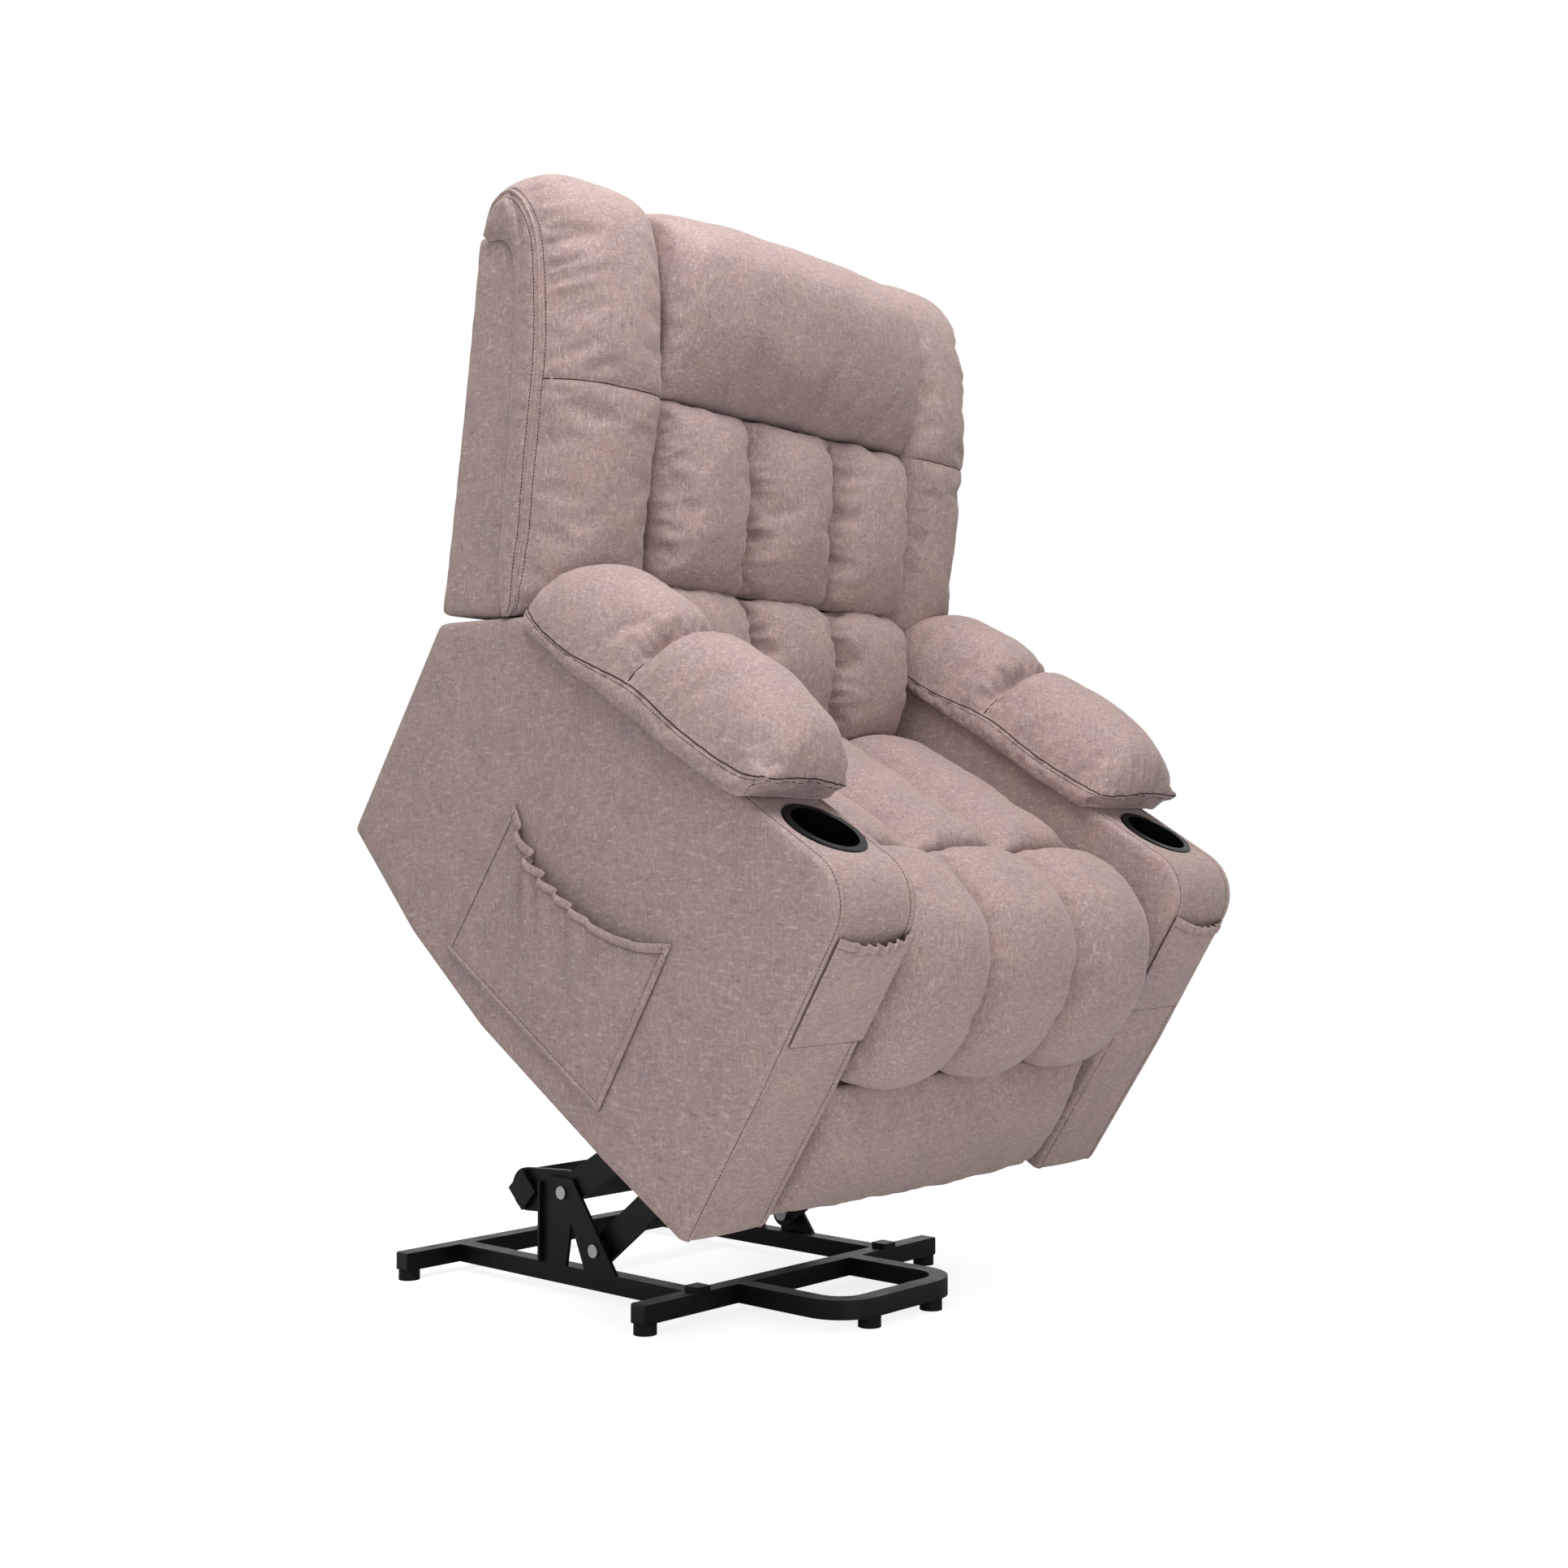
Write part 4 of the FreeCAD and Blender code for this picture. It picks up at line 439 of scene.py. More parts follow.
def makeFabric(name):
    # brushed heathered cloth: slow clouds of a cool and a warm tone, short pale fibres in crossing
    # directions, darker specks between them, and the same fibres as a fine nap
    look = fabricLook
    cloth = Finish(name, Roughness=0.92, Sheen_Weight=look["sheen"], Sheen_Roughness=0.45,
                   Sheen_Tint=toLinear(230, 216, 210), Specular_IOR_Level=0.15)
    cool, warm, pale, dark = (toLinear(*look[tone]) for tone in ("cool", "warm", "pale", "dark"))
    clouds = cloth.noise(look["cloudScale"], 4.0, 0.6)
    patches = cloth.noise(look["patchScale"], 5.0, 0.66, distortion=0.4)
    ways = (((1.0, 0.13, 0.45), (0.6, 0.35, 0.75)), ((0.45, 1.0, 0.12), (1.0, -0.55, 0.25)),
            ((0.14, 0.5, 1.0), (-0.45, 0.8, -0.5)))
    sets = [cloth.noise(look["fibreScale"], 2.0, 0.55, cloth.stretch(*way)) for way in ways]
    fibres = cloth.sum(cloth.sum(sets[0], sets[1], "MAXIMUM"), sets[2], "MAXIMUM")
    hollows = cloth.sum(cloth.sum(sets[0], sets[1], "MINIMUM"), sets[2], "MINIMUM")
    nap = cloth.noise(1700.0, 2.0, 0.7)
    tone = cloth.sum(cloth.spread(clouds, 0.32, 0.68, 0.1, 0.6), cloth.spread(patches, 0.34, 0.66, 0.0, 0.32))
    colour = cloth.blend(tone, cool, warm)
    colour = cloth.blend(cloth.spread(fibres, 0.56, 0.78, 0.0, 0.6), colour, pale)
    colour = cloth.blend(cloth.spread(hollows, 0.41, 0.24, 0.0, 0.45), colour, dark)
    colour = cloth.blend(cloth.spread(nap, 0.35, 0.7, 0.16, 0.0), colour, dark)
    height = cloth.sum(cloth.sum(fibres, cloth.sum(nap, 0.6, "MULTIPLY")), cloth.sum(patches, 0.5, "MULTIPLY"))
    return cloth.wear(colour, None, height, 0.4, 0.0009)


def makeSteel():
    # satin powder coat with orange peel and a few dull rubs
    coat = Finish("blackSteel", Metallic=0.0, Specular_IOR_Level=0.22)
    peel = coat.noise(900.0, 3.0, 0.5)
    rub = coat.noise(22.0, 6.0, 0.7)
    colour = coat.blend(coat.spread(rub, 0.55, 0.75), toLinear(9, 9, 10), toLinear(19, 19, 21))
    return coat.wear(colour, coat.spread(rub, 0.3, 0.7, 0.34, 0.52), peel, 0.25, 0.0004)


def makeZinc(name, tint, rough):
    # plated or ground metal: fine turning marks and a cloudy gloss
    metal = Finish(name, Metallic=1.0)
    marks = metal.noise(240.0, 4.0, 0.6, metal.stretch((6.0, 1.0, 1.0)))
    cloud = metal.noise(120.0, 3.0)
    colour = metal.blend(cloud, toLinear(*tint), toLinear(*(round(c * 0.8) for c in tint)))
    return metal.wear(colour, metal.spread(marks, 0.2, 0.8, rough, rough + 0.25), marks, 0.15, 0.0003)


def makePlastic(name, dark, light, rough, grain, strength, shine=0.5):
    # moulded plastic or rubber: a fine sparked grain and faint handling marks
    plastic = Finish(name, Specular_IOR_Level=shine)
    fine = plastic.noise(grain, 3.0, 0.6)
    marks = plastic.noise(30.0, 6.0, 0.65)
    colour = plastic.blend(plastic.spread(marks, 0.4, 0.75), toLinear(*dark), toLinear(*light))
    return plastic.wear(colour, plastic.spread(marks, 0.3, 0.7, rough, rough + 0.12), fine, strength, 0.0004)


def makePlywood():
    # birch ply: long grain streaks and darker veneer layers
    wood = Finish("plywoodFace", Roughness=0.62)
    grain = wood.noise(90.0, 6.0, 0.6, wood.stretch((8.0, 0.7, 3.0)), 0.8)
    layers = wood.add("TexWave", {"Vector": wood.place, "Scale": 110.0, "Distortion": 1.5}).outputs["Fac"]
    colour = wood.blend(grain, toLinear(214, 184, 140), toLinear(176, 138, 92))
    colour = wood.blend(wood.spread(layers, 0.6, 0.9, 0.0, 0.35), colour, toLinear(126, 92, 58))
    return wood.wear(colour, None, grain, 0.3, 0.0006)


def makeStrap():
    # woven webbing: two crossed sets of fine ribs
    strap = Finish("strapWeave", Roughness=0.85)
    warp, weft = (strap.add("TexWave", {"Vector": strap.place, "Scale": 190.0}, bands_direction=way).outputs["Fac"]
                  for way in "XY")
    weave = strap.sum(warp, weft, "MULTIPLY")
    return strap.wear(strap.blend(weave, toLinear(24, 24, 26), toLinear(58, 57, 58)), None, weave, 0.6, 0.0008)


fabric = makeFabric("heatherCloth")
# dark tone for the stitch thread, darker than the cloth, and painted shade: tubes of it laid low in the seam grooves
# stand for the shadow there
shadowThread = makePlastic("seamThreadAndPaintedShade", (52, 41, 40), (68, 55, 52), 0.8, 2600.0, 0.5, 0.1)
finishes = {
    "upholstery": fabric,
    "black_steel": makeSteel(),
    "zinc_bolts": makeZinc("zincPlate", (196, 198, 200), 0.22),
    "motor_steel": makeZinc("groundSteel", (176, 178, 182), 0.15),
    "foot_rubber": makePlastic("footRubber", (9, 9, 10), (20, 20, 21), 0.62, 700.0, 0.4, 0.2),
    "motor_plastic": makePlastic("motorCase", (12, 12, 13), (22, 22, 23), 0.45, 1500.0, 0.4, 0.25),
    "cup_plastic": makePlastic("cupGloss", (3, 3, 4), (6, 6, 7), 0.3, 1800.0, 0.08, 0.12),
    "case_plastic": makePlastic("handsetCase", (26, 26, 28), (40, 40, 42), 0.42, 2200.0, 0.35),
    "button_plastic": makePlastic("buttonFace", (196, 196, 192), (214, 214, 210), 0.38, 1500.0, 0.15),
    "plywood": makePlywood(),
    "webbing": makeStrap(),
}
for row in frame["record"]["subparts"]:
    node = frame["nodes"][row["node"]]
    node.data.materials.clear()
    node.data.materials.append(finishes[row["material_slot"]])
print("finishes ready")


def dress(piece, body, nodes=()):
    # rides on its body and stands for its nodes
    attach(piece, body)
    if nodes:
        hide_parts(*nodes)
    return piece


def alongNormals(line, toward):
    # unit vectors square to a line in its plane, on the side of the given point at mid-length
    normal = squareTo(np.gradient(line, axis=0))
    middle = len(line) // 2
    return normal * np.sign(normal[middle] @ (toward - line[middle]))


def makeTwin(name, piece, quads, crisp):
    # the same piece for the right side; both keep their sewn edges crisp
    twin = makePiece(name, pointsOf(piece) * mirror, quads, fabric)
    for one in (piece, twin):
        sharpen(one, crisp, 0.8)
    return twin


def ringSkin(name, points):
    # rings of points as one skin; the first and the last ring are each drawn to one vertex
    ids = np.arange(points.shape[0] * points.shape[1]).reshape(points.shape[:2])
    ids[0], ids[-1] = ids[0, 0], ids[-1, 0]
    used, fresh = np.unique(quadsOf(np.hstack([ids, ids[:, :1]])), return_inverse=True)
    return makePiece(name, toWorld(points.reshape(-1, 3)[used], "seat"), fresh.reshape(-1, 4), fabric)


cushionUsual = {"step": 8.0, "deep": 6, "acrossPower": 2.6, "alongPower": 3.4, "fullness": ((0, 1), (1, 1)),
                "channelDrop": 0.0, "wander": 0.0, "wanderRun": 24.0, "edgeRise": 0.0, "wobble": 0.35,
                "looseSide": 1.0}


def pathCushion(name, recipe):
    # a stuffed row of channels: an outer line and an inner line in the side view, carried across x;
    # between seams the outer face stands proud of its line by crown x round across x round along it
    s = {**cushionUsual, **recipe}
    xs, place, onSeam = acrossSeams(s["seams"], s["step"])
    rows = s["rows"]
    outer, inner = smoothLine(s["outer"], rows), smoothLine(s["inner"], rows)
    normal = alongNormals(outer, 2 * outer[rows // 2] - inner[rows // 2])
    ia, ib, ic, quads = boxGrid(len(xs), rows, s["deep"])
    share = ic / ic.max()
    along = ib / (rows - 1)
    across = crownShare(place, s["acrossPower"])[ia]
    lift = s["crown"] * across * crownShare(along, s["alongPower"])
    lift = lift * np.interp(along, *s["fullness"])
    lift = lift - s["channelDrop"] * (1 - across) * crownShare(along, 8.0)
    flat = inner[ib] + (outer[ib] - inner[ib]) * share[:, None]
    flat = flat + normal[ib] * (lift * np.where(ic == ic.max(), 1.0, share ** 3))[:, None]
    x = xs[ia].copy()
    draw = np.random.default_rng(len(name))
    for seam in s["seams"][1:-1]:  # inner seams wander a little from side to side
        wave = np.sin(along * draw.uniform(9, 12) + draw.uniform(0, 6)) + 0.7 * np.sin(along * draw.uniform(19, 27))
        x += s["wander"] * wave * np.exp(-((xs[ia] - seam) / s["wanderRun"]) ** 2) * crownShare(along, 6.0)
    flat[:, 1] += s["edgeRise"] * np.abs(x / xs[-1]) ** 3 * (1 - along) ** 2  # the low edge curves up at both sides
    local = np.column_stack([x, flat])
    local = local + wobble.normal(0.0, s["wobble"], local.shape)
    piece = makePiece(name, toWorld(local, s["part"]), quads, fabric)
    seam = onSeam[ia] & (ic == ic.max())
    sharpen(piece, seam)
    held = seam | (ib == 0) | (ib == rows - 1) | (ic < ic.max() * s["looseSide"])
    puffLater(piece, held, *s["puff"])
    return piece, [numbersOf((ia, ib, ic))[column, :, -1] for column in np.flatnonzero(onSeam)[1:-1]]


# seat

seatCushion = {
    "puff": (3.0, 0.035, 0.010), "part": "seat", "seams": (-270, -92, 92, 270), "rows": 40, "crown": 26.0,
    "outer": ((157, 423), (200, 418), (320, 414), (430, 408), (470, 399), (489, 378)),
    "inner": ((158, 289), (220, 289), (320, 289), (430, 289), (480, 289), (489, 289)),
    "acrossPower": 2.4, "alongPower": 7.0, "channelDrop": 6.0, "wander": 1.5,
}
seatPad, seatLines = pathCushion("seatPad", seatCushion)

frontRoll = {
    "puff": (3.5, 0.04, 0.013), "part": "seat", "seams": (-270, -92, 92, 270), "rows": 58, "crown": 27.0, "deep": 7,
    "outer": ((156, 423), (118, 425), (74, 421), (28, 404), (0, 373), (-13, 335), (-16, 296), (-13, 254),
              (-4, 224), (10, 211), (33, 209)),
    "inner": ((152, 300), (110, 296), (62, 292), (40, 285), (37, 262), (37, 235), (37, 216), (36, 212)),
    "acrossPower": 2.2, "alongPower": 5.0, "channelDrop": 9.0, "looseSide": 0.35, "wander": 1.5,
}
rollPad, rollLines = pathCushion("frontRollPad", frontRoll)

footPanel = {
    "puff": (2.0, 0.02, 0.008), "part": "seat", "seams": (-267, 267), "rows": 26, "crown": 25.0, "deep": 3,
    "outer": ((5, 1), (3, 60), (3, 130), (5, 193)), "inner": ((11.4, 3), (11.4, 60), (11.4, 130), (11.4, 192)),
    "acrossPower": 7.0, "alongPower": 2.2, "step": 9.0, "edgeRise": 12.0,
}
footPad, _ = pathCushion("footrestPad", footPanel)
print("seat shapes ready")

# back

headRoll = {
    "puff": (3.5, 0.035, 0.012), "part": "back", "seams": (-253.5, 253.5), "rows": 56, "crown": 36.0,
    "outer": ((-112, 508), (-119, 545), (-121, 620), (-114, 688), (-94, 726), (-62, 744), (-21, 751), (18, 748),
              (43, 729), (53, 698)),
    "inner": ((-26, 509), (-26, 560), (-26, 620), (-26, 670), (-24, 692), (0, 692), (30, 692), (52, 692)),
    "acrossPower": 3.6, "alongPower": 2.6, "fullness": ((0, 0.45, 0.62, 1.0), (1.05, 1.0, 0.3, 0.15)),
}
headPad, _ = pathCushion("headRollPad", headRoll)

upperRow = {
    "puff": (4.0, 0.06, 0.014), "part": "back", "seams": (-253.5, -86, 86, 253.5), "rows": 40, "crown": 34.0,
    "outer": ((-108, 264), (-122, 284), (-127, 330), (-126, 400), (-121, 470), (-111, 506)),
    "inner": ((-26, 266), (-26, 330), (-26, 440), (-26, 506)),
    "acrossPower": 2.4, "alongPower": 3.0, "channelDrop": 12.0, "wander": 2.6, "step": 7.0,
    "fullness": ((0, 0.35, 1.0), (1.12, 1.04, 0.86)),
}
upperPad, upperLines = pathCushion("upperRowPad", upperRow)

lumbarRow = {
    "puff": (4.0, 0.07, 0.014), "part": "back", "seams": (-253.5, -86, 86, 253.5), "rows": 42, "crown": 33.0,
    "deep": 7,
    "outer": ((-60, 61), (-112, 74), (-140, 112), (-150, 152), (-149, 192), (-139, 236), (-112, 263)),
    "inner": ((-27, 68), (-27, 120), (-27, 180), (-27, 262)),
    "acrossPower": 2.2, "alongPower": 3.0, "channelDrop": 13.0, "looseSide": 0.4, "wander": 4.5, "step": 7.0,
}
lumbarPad, lumbarLines = pathCushion("lumbarRowPad", lumbarRow)

sideWing = {
    "inner": 254.5, "outer": 421.0, "columns": 30, "rows": 108, "deep": 8, "crown": 25.0, "turn": 6.0,
    "bandBulge": 5.0, "bandTuck": 3.0, "seamHeight": 507.0, "spread": 1.35, "backTurn": 5,
    "crownAlong": ((0, 0.55, 0.75, 1.0), (1.0, 1.0, 0.55, 0.3)),
    # rearwards and up: front edge by the middle, sewn outer edge, rear edge of the side band, hidden edge
    "knots": (
        (-40, 222, -45, 208, -40, 206, -27, 218), (-88, 238, -57, 221, -30, 222, -27, 232),
        (-106, 272, -58, 267, -20, 266, -27, 268), (-110, 330, -63, 328, -19, 317, -27, 325),
        (-112, 430, -65, 410, -16, 410, -27, 425), (-113, 507, -69, 506, -16, 507, -27, 507),
        (-108, 600, -63, 596, -10, 590, -27, 596), (-97, 675, -49, 674, -4, 640, -27, 650),
        (-75, 730, -29, 714, 4, 668, -26, 682), (-32, 760, -5, 738, 20, 682, -18, 688),
        (15, 762, 16, 746, 38, 686, 14, 686), (46, 740, 42, 732, 51, 687, 42, 686),
        (55, 698, 54, 694, 54, 689, 50, 686)),
}


def makeWing(name):
    # between its two front edges the wing's face runs flat, then turns back to the sewn edge as share
    # across to a high power, and swells by the crown; a side band joins that edge to the rear one
    s = sideWing
    lines = smoothLine(s["knots"], s["rows"])
    face = lines[:, :2]
    normal = alongNormals(face, face[s["rows"] // 2] + (-50.0, 0.0))
    ia, ib, ic, quads = boxGrid(s["columns"], s["rows"], s["deep"])
    across = 1 - (1 - ia / ia.max()) ** s["spread"]
    share = ic / ic.max()
    along = ib / ib.max()
    front = face[ib] + (lines[ib, 2:4] - face[ib]) * (across ** s["turn"])[:, None]
    lift = s["crown"] * crownShare(across, 3.0) * crownShare(along, 9.0)
    lift = lift * np.interp(along, *s["crownAlong"])
    front = front + normal[ib] * lift[:, None]
    back = lines[ib, 6:8] + (lines[ib, 4:6] - lines[ib, 6:8]) * (across ** s["backTurn"])[:, None]
    x = s["inner"] + (s["outer"] - s["inner"]) * across
    band = ia == ia.max()
    x = x + band * (s["bandBulge"] * np.sin(np.pi * share) ** 0.7 - s["bandTuck"] * (1 - share) ** 3)
    local = np.column_stack([x, back + (front - back) * share[:, None]])
    local = local + wobble.normal(0.0, 0.3, local.shape)
    piece = makePiece(name, toWorld(local, "back"), quads, fabric)
    number = numbersOf((ia, ib, ic))
    seamRow = int(np.argmin(np.abs(face[:80, 1] - s["seamHeight"])))
    onEdge = band & (ic == ic.max())
    crisp = onEdge | ((ia == 0) & (ic == ic.max()))
    held = onEdge | (ic < ic.max() * 0.5) | (ia == 0) | (ib == 0) | (ib == ib.max())
    held |= (ib == seamRow) & (ic == ic.max())
    heights = local[number[:, seamRow, -1]][:, (0, 2)]
    return piece, held, crisp, number, quads, seamRow, heights


wingLeft, wingHeld, wingCrisp, wingNumber, wingQuads, wingSeamRow, wingSeam = makeWing("wingPadLeft")
wingRight = makeTwin("wingPadRight", wingLeft, wingQuads, wingCrisp)
puffLater(wingLeft, wingHeld, 2.5, 0.03, 0.008, twin=wingRight)

backShell = {"low": (-415.0, -24.0, 203.5), "high": (415.0, 98.0, 695.0), "rearHigh": 77.0, "belly": 3.0,
             "round": 9.0, "counts": (70, 12, 44)}


def leanShell(local, unit):
    # the rear face leans in from its depth at the bottom to rearHigh at the top, and bellies a little
    s = backShell
    up = (unit[:, 2] + 1) / 2
    reach = (s["high"][1] - s["low"][1]) + (s["rearHigh"] - s["high"][1]) * up
    depth = (local[:, 1] - s["low"][1]) / (s["high"][1] - s["low"][1])
    belly = s["belly"] * (1 - unit[:, 0] ** 4) * (1 - unit[:, 2] ** 4) * (unit[:, 1] > 0.99)
    return np.column_stack([local[:, 0], s["low"][1] + depth * reach + belly, local[:, 2]])


shellPiece, shellCounts = roundedBlock("backShellCover", backShell["low"], backShell["high"], backShell["round"],
                                       backShell["counts"], "back", fabric, leanShell)
shellHeld = shellCounts[1] < shellCounts[1].max()
puffLater(shellPiece, shellHeld, 1.0, 0.01, 0.004)
print("back shapes ready")

# pads on the arms

armPad = {
    "centre": 352.0, "saddle": 5.0, "overhang": 74.0, "seamY": 400.0, "frontSlope": 21.0, "droop": 13.0,
    "sweep": 18.0,
    "rows": 108, "columns": 34, "deep": 7, "frontFrom": 205.0, "frontRun": 55.0, "crownPower": 2.4,
    "crownRound": 0.62,
    "pinchRun": 14.0, "pinchDeep": (14.0, 16.0), "bandBulge": 3.0, "saddleRun": 6.0,
    # y, half width, underside, sewn edge, crest
    "stations": (
        (622, 64, 487, 504, 505), (618, 72, 485, 503, 530), (607, 79, 484, 501, 556), (586, 83, 483.8, 498, 577),
        (555, 86, 483.6, 495, 590), (503, 87, 483.6, 495, 597), (440, 86, 483.6, 504, 595),
        (400, 84.5, 483.6, 510, 588), (360, 86, 483.6, 511, 595), (310, 87, 483.6, 507, 598),
        (253, 86.5, 483.6, 506, 596), (210, 85, 484, 508, 588), (180, 83.5, 485, 512, 574),
        (163, 82, 488, 518, 557), (154, 81, 490, 522, 540), (150, 79.5, 491, 524, 525)),
}


def makePad(name):
    # a boxed pillow: a side band from the underside to the sewn edge, and above it a crown of two lobes
    # that meet in a cross seam: height x (1 - |share across| ^ crownPower) ^ crownRound
    s = armPad
    steps = smoothLine(np.array(s["stations"], float)[::-1], s["rows"])
    ia, ib, ic, quads = boxGrid(s["columns"], s["rows"], s["deep"])
    y, half, low, seam, crest = (steps[ib, k] for k in range(5))
    u = ia / ia.max() * 2 - 1
    u = np.sin(u * np.pi / 2) * 0.5 + u * 0.5
    share = ic / ic.max()
    top = ic == ic.max()
    front = np.clip((s["frontFrom"] - y) / s["frontRun"], 0, 1)
    droop = s["droop"] * np.clip((-u - 0.05) / 0.85, 0, 1) ** 1.4 * front ** 2
    pinch = np.exp(-((y - s["seamY"]) / s["pinchRun"]) ** 2)
    seam, crest = seam - droop, crest - droop * 0.8
    high = seam + np.maximum(crest - seam, 0.4) * (1 - np.abs(u) ** s["crownPower"]) ** s["crownRound"]
    middle, aside = s["pinchDeep"]
    high = high - pinch * (middle + aside * np.sin(np.pi * np.abs(u)) ** 2) * (np.abs(u) < 0.99) * top
    under = low - s["saddle"] * np.clip((np.abs(u * half) - s["overhang"]) / s["saddleRun"], 0, 1) * (1 - front)
    z = under + (np.where(top, high, seam) - under) * share
    side = (np.abs(u) > 0.999) & (ic > 0)
    x = s["centre"] + u * half + np.sign(u) * side * s["bandBulge"] * np.sin(np.pi * share)
    y = y + (1 - share) * s["frontSlope"] * front ** 3 + s["sweep"] * np.clip(-u, 0, 1) ** 4 * front ** 2
    local = np.column_stack([x, y, z])
    local = local + wobble.normal(0.0, 0.3, local.shape)
    piece = makePiece(name, toWorld(local, "seat"), quads, fabric)
    counts = (ia, ib, ic)
    rim = top & ((ia == 0) | (ia == ia.max()) | (ib == 0) | (ib == ib.max()))
    crossRow = int(np.argmin(np.abs(steps[:, 0] - s["seamY"])))
    cross = (ib == crossRow) & top & (np.abs(u) < 0.97)
    return piece, rim | cross | (ic == 0), rim | cross, counts, quads, crossRow


padLeft, padHeld, padCrisp, padCounts, padQuads, padCross = makePad("armPadLeft")
padRight = makeTwin("armPadRight", padLeft, padQuads, padCrisp)
puffLater(padLeft, padHeld, 4.0, 0.05, 0.011, twin=padRight)
print("pads ready")
puffAll()
print("fabric settled")


def rollRelief(p):
    return unevenness(p, 1.2, 105.0, 5)


def footRelief(p):
    return unevenness(p, 1.0, 120.0, 7) * (p[:, 1] < 5)


rowGathers = {"reach": 32.0, "width": 4.2}
rowLook = {"gatherStep": 21, "gatherEnd": 90, "leans": ((0.0, 0.6), (-0.3, 0.4)), "foldDepth": 3.4, "foldEnd": 84,
           "faceAt": -70}


def rowRelief(p, seams, low, high, seed, depth, corners):
    # gathers along each upright seam on both sides of it, and folds out of the chosen corners
    x, w, v = p.T
    s = rowLook
    height = unevenness(p, 1.2, 80.0, seed)
    for number, seam in enumerate(seams):
        for way in (-1, 1):
            off = (x - seam) * way
            folds = gathersAlong(v, np.clip(off, 0, None), low, high, round((high - low) / s["gatherStep"]),
                                 seed + 2 * number + way, depth=depth, lean=s["leans"][number > 0], **rowGathers)
            height += folds * (off > 0) * (off < s["gatherEnd"])
    for corner, angles, reach in corners:
        height += foldsFrom(x, v, corner, angles, reach, s["foldDepth"]) * (np.abs(x - corner[0]) < s["foldEnd"])
    return height * (w < s["faceAt"])


def upperRelief(p):
    corners = [((-250, 268), (24, 50), 60.0), ((-90, 268), (128, 158), 46.0), ((-82, 268), (28,), 44.0),
               ((82, 268), (150,), 46.0), ((90, 268), (30, 54), 50.0), ((250, 268), (140,), 46.0)]
    return rowRelief(p, upperRow["seams"], 276, 500, 31, 3.8, corners)


def lumbarRelief(p):
    corners = [((-82, 262), (-35, -60), 44.0), ((82, 262), (-145,), 40.0), ((90, 262), (-38, -62), 44.0)]
    return rowRelief(p, lumbarRow["seams"], 84, 256, 63, 5.5, corners)


headGathers = {"low": 530, "high": 735, "count": 8, "reach": 26.0, "width": 5.0, "depth": 1.8, "lean": (-0.2, 0.5)}


def headRelief(p):
    x, w, v = p.T
    height = unevenness(p, 1.4, 110.0, 9)
    for way in (-1, 1):
        off = np.clip(headRoll["seams"][1] - x * way, 0, None)
        height += gathersAlong(v, off, seed=12 + way, **headGathers) * (off < 80)
    return height * (v > 500) * ((w < rowLook["faceAt"]) | (v > 720))


wingGathers = {"low": 604.0, "high": 728.0, "count": 9, "seed": 21, "reach": 42.0, "width": 5.0, "depth": 5.0,
               "lean": (0.2, 0.55)}
wingTuck = ((-17, 684), (-12, 704), (-2, 722), (8, 738))  # a crease in the side band, rearwards and up


def wingRelief(p):
    x, w, v = np.abs(p[:, 0]), p[:, 1], p[:, 2]
    face = (x < 417) & ((w < -40) | (v > 715))
    height = unevenness(np.column_stack([x, w, v]), 1.2, 100.0, 15)
    height += gathersAlong(v, np.clip(418.0 - x, 0, None), **wingGathers) * face
    seam = np.interp(x, *wingSeam.T)
    height += valley(v - seam, 3.0, 2.4) * (w < -60) * (x < 415)
    line = smoothLine(wingTuck, 20)
    away = np.min(np.hypot(w[:, None] - line[None, :, 0], v[:, None] - line[None, :, 1]), axis=1)
    return height + valley(away, 5.0, 4.5) * (x > 413)


crossGathers = {"low": -150, "high": 150, "count": 15, "width": 4.4}
crossSides = ((1, 44, 44.0, 5.5), (-1, 45, 28.0, 3.6))  # way from the seam, seed, reach, depth
frontGathers = {"low": 270, "high": 436, "count": 12, "seed": 46, "reach": 46.0, "width": 4.6, "depth": 4.0}
outerGathers = {"low": 210, "high": 370, "count": 8, "seed": 47, "reach": 40.0, "width": 6.0, "depth": 2.4,
                "lean": (-0.2, 0.2)}


def padRelief(p):
    x, y, z = np.abs(p[:, 0]), p[:, 1], p[:, 2]
    s = armPad
    top = z > 512
    girth = (x - s["centre"]) + np.sign(x - s["centre"]) * (600.0 - z) * 0.8  # distance over the crown
    height = unevenness(np.column_stack([x, y, z]), 1.3, 95.0, 17)
    for way, seed, reach, depth in crossSides:
        off = (y - s["seamY"]) * way
        folds = gathersAlong(girth, np.clip(off, 0, None), seed=seed, reach=reach, depth=depth, **crossGathers)
        height += folds * (off > 0) * top
    height += gathersAlong(x, np.clip(y - 148.0, 0, None), **frontGathers) * top * (y < 260)
    return height + gathersAlong(y, np.clip(z - 509.0, 0, None), **outerGathers) * (x > 400)


cushionTable = (
    # piece, body, the node it stands for, how full it is, its relief
    (seatPad, "seat_frame", "seat_cushion", 0.8, rollRelief),
    (rollPad, "seat_frame", "seat_front_roll", 0.85, rollRelief),
    (footPad, "footrest_panel", "footrest_pad", 0.6, footRelief),
    (headPad, "back", "head_roll", 0.85, headRelief),
    (upperPad, "back", "upper_channels", 0.8, upperRelief),
    (lumbarPad, "back", "lumbar_channels", 0.85, lumbarRelief),
    (wingLeft, "back", "wing_left", 0.7, wingRelief),
    (wingRight, "back", "wing_right", 0.7, wingRelief),
    (padLeft, "seat_frame", "arm_pad_left", 0.85, padRelief),
    (padRight, "seat_frame", "arm_pad_right", 0.85, padRelief),
    (shellPiece, "back", "back_cover", 0.3, None),
)
for piece, body, node, fill, relief in cushionTable:
    settle(piece, "back" if body == "back" else "seat", relief)
for piece, body, node, fill, relief in cushionTable:
    dress(piece, body, (node,))
